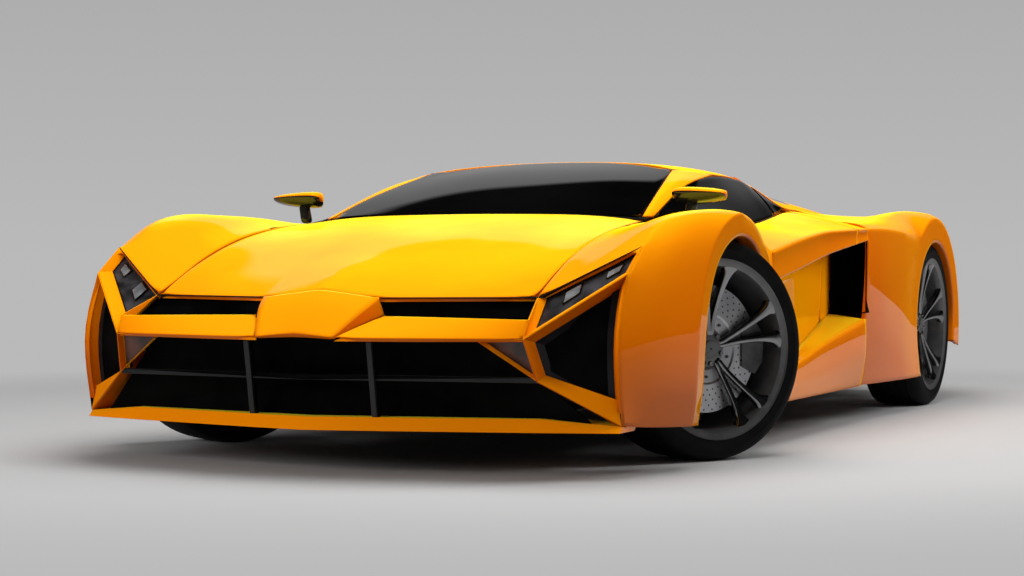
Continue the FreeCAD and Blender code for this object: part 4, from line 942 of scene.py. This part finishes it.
# ---------------------------------------------------------------- roof, pillars and glass
# half sections of the roof and of the pane below it, columns: x, y from the axle, z
ROOF_SECTIONS = (
    ((0, 1.010, 0.9815), (0.250, 0.985, 0.975), (0.395, 0.915, 0.959), (0.474, 0.850, 0.940),
     (0.530, 0.915, 0.935), (0.581, 0.992, 0.925)),
    ((0, 1.120, 0.984), (0.260, 1.110, 0.977), (0.400, 1.070, 0.963), (0.475, 1.040, 0.952),
     (0.540, 1.070, 0.938), (0.583, 1.100, 0.925)),
    ((0, 1.280, 0.986), (0.270, 1.270, 0.977), (0.410, 1.240, 0.961), (0.482, 1.220, 0.948),
     (0.546, 1.210, 0.935), (0.588, 1.205, 0.920)),
    ((0, 1.450, 0.992), (0.285, 1.430, 0.972), (0.415, 1.400, 0.950), (0.485, 1.375, 0.937),
     (0.548, 1.345, 0.920), (0.606, 1.334, 0.894)),
    ((0, 1.640, 0.996), (0.290, 1.620, 0.974), (0.410, 1.580, 0.944), (0.470, 1.560, 0.926),
     (0.525, 1.550, 0.904), (0.572, 1.545, 0.877)),
    ((0, 1.880, 0.999), (0.290, 1.860, 0.976), (0.400, 1.840, 0.936), (0.450, 1.830, 0.908),
     (0.505, 1.820, 0.868), (0.560, 1.810, 0.838)),
    ((0, 2.120, 1.000), (0.290, 2.120, 0.964), (0.390, 2.120, 0.908), (0.440, 2.120, 0.872),
     (0.500, 2.120, 0.840), (0.560, 2.120, 0.817)),
)
# buttress behind the side glass: its edge on the roof, then its edge on the glass and belt
BUTTRESS = (((0.610, 1.336, 0.893), (0.614, 1.342, 0.890)),
            ((0.588, 1.450, 0.885), (0.648, 1.422, 0.855)),
            ((0.573, 1.550, 0.876), (0.684, 1.502, 0.813)),
            ((0.563, 1.655, 0.862), (0.703, 1.655, 0.806)))
SCREEN_SECTIONS = (
    ((0, 0.205, 0.780), (0.300, 0.215, 0.777), (0.575, 0.250, 0.761)),
    ((0, 0.380, 0.838), (0.295, 0.380, 0.834), (0.552, 0.408, 0.819)),
    ((0, 0.570, 0.896), (0.280, 0.565, 0.891), (0.524, 0.570, 0.867)),
    ((0, 0.790, 0.948), (0.265, 0.765, 0.941), (0.496, 0.715, 0.906)),
    ((0, 1.004, 0.9805), (0.250, 0.979, 0.974), (0.470, 0.844, 0.939)),
)
# top edge of the side glass from its front corner to the door's last pane, then to the tip
GLASS_ARC = ((0.606, 0.288, 0.760), (0.592, 0.456, 0.811), (0.584, 0.611, 0.862),
             (0.580, 0.782, 0.900), (0.582, 0.987, 0.923), (0.588, 1.196, 0.918),
             (0.598, 1.267, 0.910), (0.610, 1.326, 0.893))
QUARTER_ARC = ((0.612, 1.336, 0.890), (0.645, 1.416, 0.853), (0.680, 1.494, 0.812))


def roof():
    """Roof panel down to the buttresses, with both windscreen pillars."""
    rows = [whole_row(section) for section in ROOF_SECTIONS]
    skin = skin_piece("roof_skin", ((rows, {("row", 0): 0.6}),), PAINT, fold=0.016)
    seat(skin, "roof")
    for side, label in SIDES:
        pillar = []
        for section, outer in zip(SCREEN_SECTIONS, GLASS_ARC):
            a = at_front(*section[-1]) + Vector((0.003, 0, 0))
            b = at_front(*outer) + Vector((-0.001, -0.004, 0.001))
            pillar.append([a, between(a, b, 0.5) + Vector((0.003, 0, 0.005)), b])
        piece = skin_piece("pillar_" + label, ((pillar, None),), PAINT, side, fold=0.016)
        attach(piece, "root")
        sail = [[at_front(*a), between(at_front(*a), at_front(*b), 0.5), at_front(*b)]
                for a, b in BUTTRESS]
        piece = skin_piece("buttress_" + label, ((sail, None),), PAINT, side, fold=0.012)
        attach(piece, "root")


def windscreen():
    """Curved windscreen pane that runs on over the roof's front."""
    rows = [whole_row(section) for section in SCREEN_SECTIONS]
    pane = skin_piece("windscreen_pane", ((rows, None),), DARK_GLASS, fold=0.006)
    seat(pane, "windscreen")


roof()
windscreen()


def side_pane(name, arc, feet, side):
    """Side window between an arc and the belt."""
    rows = []
    for top, foot in zip(arc, feet):
        a, b = at_front(*foot), at_front(*top)
        rows.append([a, between(a, b, 0.5) + Vector((0.010, 0, 0)), b])
    return skin_piece(name, ((rows, None),), DARK_GLASS, side, outward=(1, 0, 0.3),
                      fold=0.005)


def belt_feet(arc, lift):
    """Feet of a window's arc on the belt, a little above it."""
    feet = []
    for _, y, _ in arc:
        foot_y = y + (0.02 if y > 1.2 else 0)
        belt_x, belt_z = table_row(BELT, FRONT_HUB.y + foot_y)
        feet.append((belt_x - 0.006 - max(0, 0.5 - y) * 0.12, foot_y, belt_z + lift))
    return feet


for side, label in SIDES:
    seat(side_pane("door_window_" + label, GLASS_ARC, belt_feet(GLASS_ARC, 0.0005), side),
         "door_glass_" + label)
    feet = belt_feet(QUARTER_ARC, 0.006)
    feet[-1] = (0.684, 1.500, 0.811)
    pane = side_pane("quarter_window_" + label, QUARTER_ARC, feet, side)
    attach(pane, "root")
    if side > 0:
        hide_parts("quarter_glass")

# ---------------------------------------------------------------- door mirrors
# sections of a door mirror's wing, columns: x, then y and z of its lower front, lower rear,
# upper rear, upper front and rim points
WING = (
    (0.652, (-0.006, 0.826), (0.020, 0.822), (0.020, 0.846), (-0.004, 0.848), (-0.012, 0.841)),
    (0.672, (-0.018, 0.804), (0.044, 0.801), (0.044, 0.862), (-0.014, 0.862), (-0.036, 0.848)),
    (0.730, (-0.022, 0.806), (0.044, 0.802), (0.044, 0.860), (-0.018, 0.860), (-0.040, 0.847)),
    (0.790, (-0.022, 0.814), (0.040, 0.808), (0.040, 0.856), (-0.018, 0.854), (-0.038, 0.844)),
    (0.828, (-0.018, 0.824), (0.034, 0.815), (0.034, 0.850), (-0.020, 0.848), (-0.032, 0.840)),
    (0.842, (-0.010, 0.829), (0.020, 0.822), (0.020, 0.842), (-0.012, 0.841), (-0.016, 0.837)),
)
MIRROR_Y = at_front(0, 0.330, 0).y
ARM_X, ARM_Z = 0.700, 0.7455
ARM_LEAN, ARM_RISE = 0.012, 0.070
# outline of the mirror glass, as x and z
GLASS_OUTLINE = ((0.676, 0.806), (0.676, 0.857), (0.786, 0.850), (0.818, 0.842),
                 (0.818, 0.820), (0.786, 0.813))
LOFT_LEVELS = 2
LOFT_CREASE = 0.85


def closed_loft(name, loops, material, side, creases=(), dark=()):
    """Smooth closed body through loops of points; creases names creased corners.

    dark names the faces of each section that are black."""
    bm = bmesh.new()
    layer = bm.edges.layers.float.new(CREASE)
    rings = [[bm.verts.new(flipped(p, side)) for p in loop] for loop in loops]
    for first, second in zip(rings[:-1], rings[1:]):
        join_rings(bm, first, second)
        for i in creases:
            bm.edges.get((first[i], second[i]))[layer] = LOFT_CREASE
    bm.faces.new(rings[0])
    bm.faces.new(rings[-1][::-1])
    obj = closed_object(name, bm, material)
    obj.data.materials.append(BLACK_GLOSS)
    for k, polygon in enumerate(list(obj.data.polygons)[:-2]):
        polygon.material_index = int(k % len(loops[0]) in dark)
    subdivide(obj, LOFT_LEVELS)
    return obj


def door_mirror(side, label):
    """Winged mirror with its glass and arm."""
    node, body = "door_mirror_" + label, "door_" + label
    loops = [[Vector((x, MIRROR_Y + y, z)) for y, z in ring] for x, *ring in WING]
    wing = closed_loft(node + "_wing", loops, PAINT, side, (1, 2, 4), dark=(0, 4))
    seat(wing, node)
    arm_rings = []
    for share in (0, 0.35, 0.7, 1):
        x = ARM_X + ARM_LEAN * share
        half = 0.024 + 0.008 * (1 - share)
        y, z = MIRROR_Y + 0.002, ARM_Z + ARM_RISE * share
        arm_rings.append([Vector((x + dx, y + half * part, z)) for dx, part in
                          ((-0.008, -1), (0.034, -0.6), (0.034, 0.6), (-0.008, 1))])
    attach(closed_loft(node + "_arm", arm_rings, BLACK_GLOSS, side), body)
    face = [Vector((x, MIRROR_Y + 0.0455, z)) for x, z in GLASS_OUTLINE]
    plate(node + "_glass", face, Vector((0, -0.004, 0)), MIRROR_GLASS, side,
          bevel=0.001, body=body)


for side, label in SIDES:
    door_mirror(side, label)

# ---------------------------------------------------------------- wheels and tyres
RING_STEPS = 112


def lathed(name, outline, material, angle=28):
    """Profile of (offset, radius) points turned about the local X axis, as a closed ring."""
    bm = bmesh.new()
    rings = []
    for k in range(RING_STEPS):
        turn = 2 * math.pi * k / RING_STEPS
        rings.append([bm.verts.new((u, r * math.cos(turn), r * math.sin(turn)))
                      for u, r in outline])
    for k in range(RING_STEPS):
        join_rings(bm, rings[k], rings[(k + 1) % RING_STEPS])
    obj = closed_object(name, bm, material)
    obj.data.set_sharp_from_angle(angle=math.radians(angle))
    return obj


# columns: radius, half width, front offset, depth, lean of the spoke in degrees
SPOKE_ROWS = (
    (0.036, 0.0125, 0.070, 0.030, 5.0),
    (0.070, 0.0105, 0.069, 0.030, 6.0),
    (0.120, 0.0095, 0.076, 0.028, 7.2),
    (0.175, 0.0105, 0.087, 0.026, 8.8),
    (0.220, 0.0135, 0.098, 0.024, 10.4),
    (0.243, 0.0190, 0.1045, 0.023, 11.6),
    (0.258, 0.0330, 0.1085, 0.022, 12.4),
    (0.264, 0.0440, 0.1095, 0.020, 12.8),
)


def spoke(bm, layer, angle, lean_sign):
    """One leg of a twin spoke, widening into the rim."""
    rings = []
    for radius, half, front, depth, lean in SPOKE_ROWS:
        turn = math.radians(angle + lean_sign * lean)
        out = Vector((0, math.cos(turn), math.sin(turn)))
        across = Vector((0, -math.sin(turn), math.cos(turn)))
        ridge = front + 0.0015
        outline = ((front - depth, 1.0), (front - 0.006, 1.0), (front, 0.72), (ridge, 0.0),
                   (front, -0.72), (front - 0.006, -1.0), (front - depth, -1.0))
        rings.append([bm.verts.new(out * radius + across * (half * w) + Vector((u, 0, 0)))
                      for u, w in outline])
    for first, second in zip(rings[:-1], rings[1:]):
        join_rings(bm, first, second)
        for i in (0, 1, 2, 4, 5, 6):
            bm.edges.get((first[i], second[i]))[layer] = 0.55
    bm.faces.new(rings[0])
    bm.faces.new(rings[-1][::-1])


def spokes(name):
    """Five twin spokes that start at the hub."""
    bm = bmesh.new()
    layer = bm.edges.layers.float.new(CREASE)
    for pair in range(5):
        for sign in (-1, 1):
            spoke(bm, layer, 90 + pair * 72, sign)
    obj = closed_object(name, bm, ALLOY_DARK)
    subdivide(obj, 2)
    return obj


RIM_OUTLINE = ((-0.112, 0.250), (0.084, 0.250), (0.100, 0.2535), (0.1085, 0.257), (0.1105, 0.262),
               (0.1125, 0.276), (0.1155, 0.2785), (0.1160, 0.280), (0.1120, 0.2802),
               (0.108, 0.272), (0.098, 0.2585), (-0.098, 0.2585), (-0.108, 0.278),
               (-0.112, 0.278))
HUB_OUTLINE = ((-0.018, 0.032), (0.022, 0.032), (0.022, 0.002), (0.070, 0.002), (0.072, 0.004),
               (0.072, 0.024), (0.070, 0.0265), (0.066, 0.027), (0.066, 0.044), (0.063, 0.055),
               (0.050, 0.066), (-0.018, 0.066))
DISC_OUTLINE = ((0.023, 0.064), (0.022, 0.100), (0.022, 0.198), (0.0235, 0.1995),
                (0.0325, 0.1995), (0.0335, 0.196), (0.0405, 0.196), (0.0415, 0.1995),
                (0.0505, 0.1995), (0.052, 0.198), (0.052, 0.112), (0.048, 0.106), (0.047, 0.064))
TYRE_OUTLINE_HALF = ((0.0, 0.3450), (0.014, 0.3450), (0.0145, 0.3395), (0.0215, 0.3395),
                     (0.022, 0.3448), (0.052, 0.3446), (0.0525, 0.3395), (0.0595, 0.3395),
                     (0.060, 0.3443), (0.088, 0.3430), (0.102, 0.3390), (0.111, 0.3320),
                     (0.1165, 0.3210), (0.1180, 0.3100), (0.1182, 0.3080), (0.1170, 0.3062),
                     (0.1165, 0.2920), (0.1130, 0.2780), (0.1120, 0.2765), (0.1080, 0.2700),
                     (0.0975, 0.2590))


SIX_CORNERS = [math.radians(60 * i) for i in range(6)]
DOT_RADIUS = 0.0032


def nut_ring(bm, radius, count, offset, nut_radius, height, start=90):
    """Ring of six-sided nuts facing outwards."""
    for k in range(count):
        turn = math.radians(start + k * 360 / count)
        centre = Vector((offset, radius * math.cos(turn), radius * math.sin(turn)))
        loops = []
        for u, r in ((0, nut_radius), (height * 0.8, nut_radius), (height, nut_radius * 0.8)):
            loops.append([bm.verts.new(centre + Vector((u, r * math.cos(a), r * math.sin(a))))
                          for a in SIX_CORNERS])
        for first, second in zip(loops[:-1], loops[1:]):
            join_rings(bm, first, second)
        bm.faces.new(loops[-1])


def hole_shade_dots(bm):
    """Curved rows of black dots on the brake disc's outer face: painted shade standing for drilled holes."""
    for k in range(36):
        for i, radius in enumerate((0.128, 0.144, 0.160, 0.176, 0.190)):
            turn = math.radians(k * 10 + i * 4.0)
            centre = Vector((0.0522, radius * math.cos(turn), radius * math.sin(turn)))
            ring = [bm.verts.new(centre + Vector((0, DOT_RADIUS * math.cos(a),
                                                  DOT_RADIUS * math.sin(a))))
                    for a in SIX_CORNERS]
            bm.faces.new(ring)


def small_parts(name, build, material):
    """Piece of many small parts, made by a function."""
    bm = bmesh.new()
    build(bm)
    return closed_object(name, bm, material, smooth=False)


# columns: corner, side, hub, steered angle in degrees
WHEELS = (("front_left", 1, FRONT_HUB, -31), ("front_right", -1, FRONT_HUB, -31),
          ("rear_left", 1, REAR_HUB, 0), ("rear_right", -1, REAR_HUB, 0))


def wheel(corner, side, hub, angle):
    """Rim, spokes, disc, nuts and tyre of one corner."""
    inner_half = [(-u, r) for u, r in reversed(TYRE_OUTLINE_HALF[1:])]
    pieces = [lathed("tyre_shape_" + corner, (*inner_half, *TYRE_OUTLINE_HALF), RUBBER,
                     angle=40),
              lathed("rim_" + corner, RIM_OUTLINE, ALLOY_RING),
              lathed("hub_" + corner, HUB_OUTLINE, ALLOY_RING),
              lathed("disc_" + corner, DISC_OUTLINE, DISC_STEEL),
              spokes("spokes_" + corner),
              small_parts("wheel_nuts_" + corner,
                          lambda bm: nut_ring(bm, radius=0.046, count=5, offset=0.060,
                                              nut_radius=0.0085, height=0.012, start=54),
                          ALLOY_DARK),
              small_parts("disc_bolts_" + corner,
                          lambda bm: nut_ring(bm, radius=0.088, count=10, offset=0.047,
                                              nut_radius=0.005, height=0.006),
                          CAST_METAL),
              small_parts("hole_shade_dots_" + corner, hole_shade_dots, BLACK_SATIN)]
    turn = math.radians(angle + (0 if side > 0 else 180))
    place = Matrix.Translation((hub.x * side, hub.y, hub.z)) @ Matrix.Rotation(turn, 4, "Z")
    for piece in pieces:
        piece.data.transform(place)
        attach(piece, "wheel_" + corner)
    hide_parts("tyre_" + corner)
    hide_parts("wheel_" + corner)


for wheel_row in WHEELS:
    wheel(*wheel_row)
for node in ("knuckle_left", "knuckle_right", "rear_carriers", "wishbones", "drive_motor"):
    bevelled_copy(node, CAST_METAL, 0.002)
bevelled_copy("wheel_liners", LINER_FELT, 0.001, angle=50)

# ---------------------------------------------------------------- camera, floor and light
CAMERA_PLACE = (3.0591, -7.8755, 0.6254)
CAMERA_TURN = (math.radians(90 - 0.774), 0, math.radians(23.492))
FOCAL_LENGTH, SENSOR_WIDTH = 77.34, 36
FLOOR_HALF_SIZE = 12


def add_camera():
    """Camera low in front of the car's left side, as in the photograph."""
    data = bpy.data.cameras.new("camera")
    data.lens = FOCAL_LENGTH
    data.sensor_width = SENSOR_WIDTH
    camera = bpy.data.objects.new("camera", data)
    camera.location = CAMERA_PLACE
    camera.rotation_euler = CAMERA_TURN
    scene.collection.objects.link(camera)
    scene.camera = camera


def seen_share(tree):
    """1 for rays from the camera, mirrors and glass, 0 for rays that light the car."""
    path = add_node(tree, "LightPath")
    total, socket = path, "Is Camera Ray"
    for ray in ("Is Glossy Ray", "Is Transmission Ray"):
        largest = add_node(tree, "Math", operation="MAXIMUM")
        link(tree, total, socket, largest, 0)
        link(tree, path, ray, largest, 1)
        total, socket = largest, "Value"
    return total


HORIZON_GREY = (0.49, 0.49, 0.49)
FLOOR_LOW, FLOOR_HIGH = (0.465, 0.465, 0.465), (0.475, 0.475, 0.475)
FADE_START, FADE_END = 2.2, 5.0


def floor_finish():
    """Matte floor whose far parts show the backdrop's own grey."""
    material, tree, shader = new_material("studio_floor")
    link(tree, clouds_between(tree, noise(tree, 0.4), FLOOR_LOW, FLOOR_HIGH), "Color",
         shader, "Base Color")
    shader.inputs["Roughness"].default_value = 0.9
    shader.inputs["Specular IOR Level"].default_value = 0.1
    length = add_node(tree, "VectorMath", operation="LENGTH")
    link(tree, add_node(tree, "TexCoord"), "Object", length, 0)
    fade = span(tree, length, "Value", 0.0, 1.0, FADE_START, FADE_END)
    fade.interpolation_type = "SMOOTHSTEP"
    share = add_node(tree, "Math", operation="MULTIPLY")
    link(tree, seen_share(tree), "Value", share, 0)
    link(tree, fade, "Result", share, 1)
    mix = add_node(tree, "MixShader")
    link(tree, share, "Value", mix, 0)
    link(tree, shader, 0, mix, 1)
    link(tree, add_node(tree, "Emission", {"Color": (*HORIZON_GREY, 1)}), 0, mix, 2)
    link(tree, mix, 0, tree.nodes["Material Output"], "Surface")
    return material


def add_floor():
    """Pale floor that keeps the car's shadow and fades into the backdrop far away."""
    bm = bmesh.new()
    bmesh.ops.create_grid(bm, x_segments=2, y_segments=2, size=FLOOR_HALF_SIZE)
    floor = new_object("floor", bm, floor_finish())


# columns: name, place, aim, width, height, watts
LAMPS = (
    ("top_light", (0.4, -0.8, 4.8), (0.2, -0.6, 0), 3.4, 5.0, 290),
    ("front_light", (-2.6, -6.5, 2.0), (0.0, -2.0, 0.4), 3.0, 1.6, 130),
    ("side_light", (5.0, 1.8, 3.6), (0.9, 0.4, 0.5), 1.6, 2.6, 150),
)


def add_softbox(name, location, target, size, size_y, power):
    """Rectangular lamp turned towards a point, which doesn't show in the paint."""
    data = bpy.data.lights.new(name, "AREA")
    data.shape = "RECTANGLE"
    data.size = size
    data.size_y = size_y
    data.energy = power
    lamp = bpy.data.objects.new(name, data)
    lamp.location = location
    lamp.visible_glossy = False
    aim = Vector(target) - Vector(location)
    lamp.rotation_euler = aim.to_track_quat("-Z", "Y").to_euler()
    scene.collection.objects.link(lamp)


BACKDROP = ((0.0, HORIZON_GREY), (0.136, (0.41, 0.41, 0.41)), (0.455, (0.36, 0.36, 0.36)),
            (0.475, (0.004, 0.004, 0.004)))
BEHIND_CAR = (-0.4, 0.917, 0)
WEDGE_START, WEDGE_END = 0.84, 0.95
ROOM_GREY = (0.24, 0.24, 0.24)


def add_world():
    """Grey backdrop behind the car; mirrors see it dark overhead and to the sides."""
    world = bpy.data.worlds.new("studio")
    scene.world = world
    world.use_nodes = True
    tree = world.node_tree
    place = add_node(tree, "TexCoord")
    split = add_node(tree, "SeparateXYZ")
    link(tree, place, "Generated", split, "Vector")
    heights = ramp(tree, split, "Z", BACKDROP)
    level = add_node(tree, "VectorMath", {1: (1, 1, 0)}, operation="MULTIPLY")
    link(tree, place, "Generated", level, 0)
    unit = add_node(tree, "VectorMath", operation="NORMALIZE")
    link(tree, level, "Vector", unit, 0)
    aside = add_node(tree, "VectorMath", {1: BEHIND_CAR}, operation="DOT_PRODUCT")
    link(tree, unit, "Vector", aside, 0)
    shade = add_node(tree, "Math", operation="MAXIMUM")
    link(tree, span(tree, aside, "Value", 0.03, 1.0, WEDGE_START, WEDGE_END), "Result",
         shade, 0)
    link(tree, add_node(tree, "LightPath"), "Is Camera Ray", shade, 1)
    dimmed = add_node(tree, "VectorMath", operation="SCALE")
    link(tree, heights, "Color", dimmed, 0)
    link(tree, shade, "Value", dimmed, "Scale")
    mix = add_node(tree, "Mix", {"A": (*ROOM_GREY, 1)}, data_type="RGBA")
    link(tree, dimmed, "Vector", mix, "B")
    link(tree, seen_share(tree), "Value", mix, "Factor")
    background = tree.nodes["Background"]
    link(tree, mix, "Result", background, "Color")
    background.inputs["Strength"].default_value = 1.0


add_camera()
add_floor()
add_world()
for lamp_row in LAMPS:
    add_softbox(*lamp_row)

scene.view_settings.view_transform = "Standard"
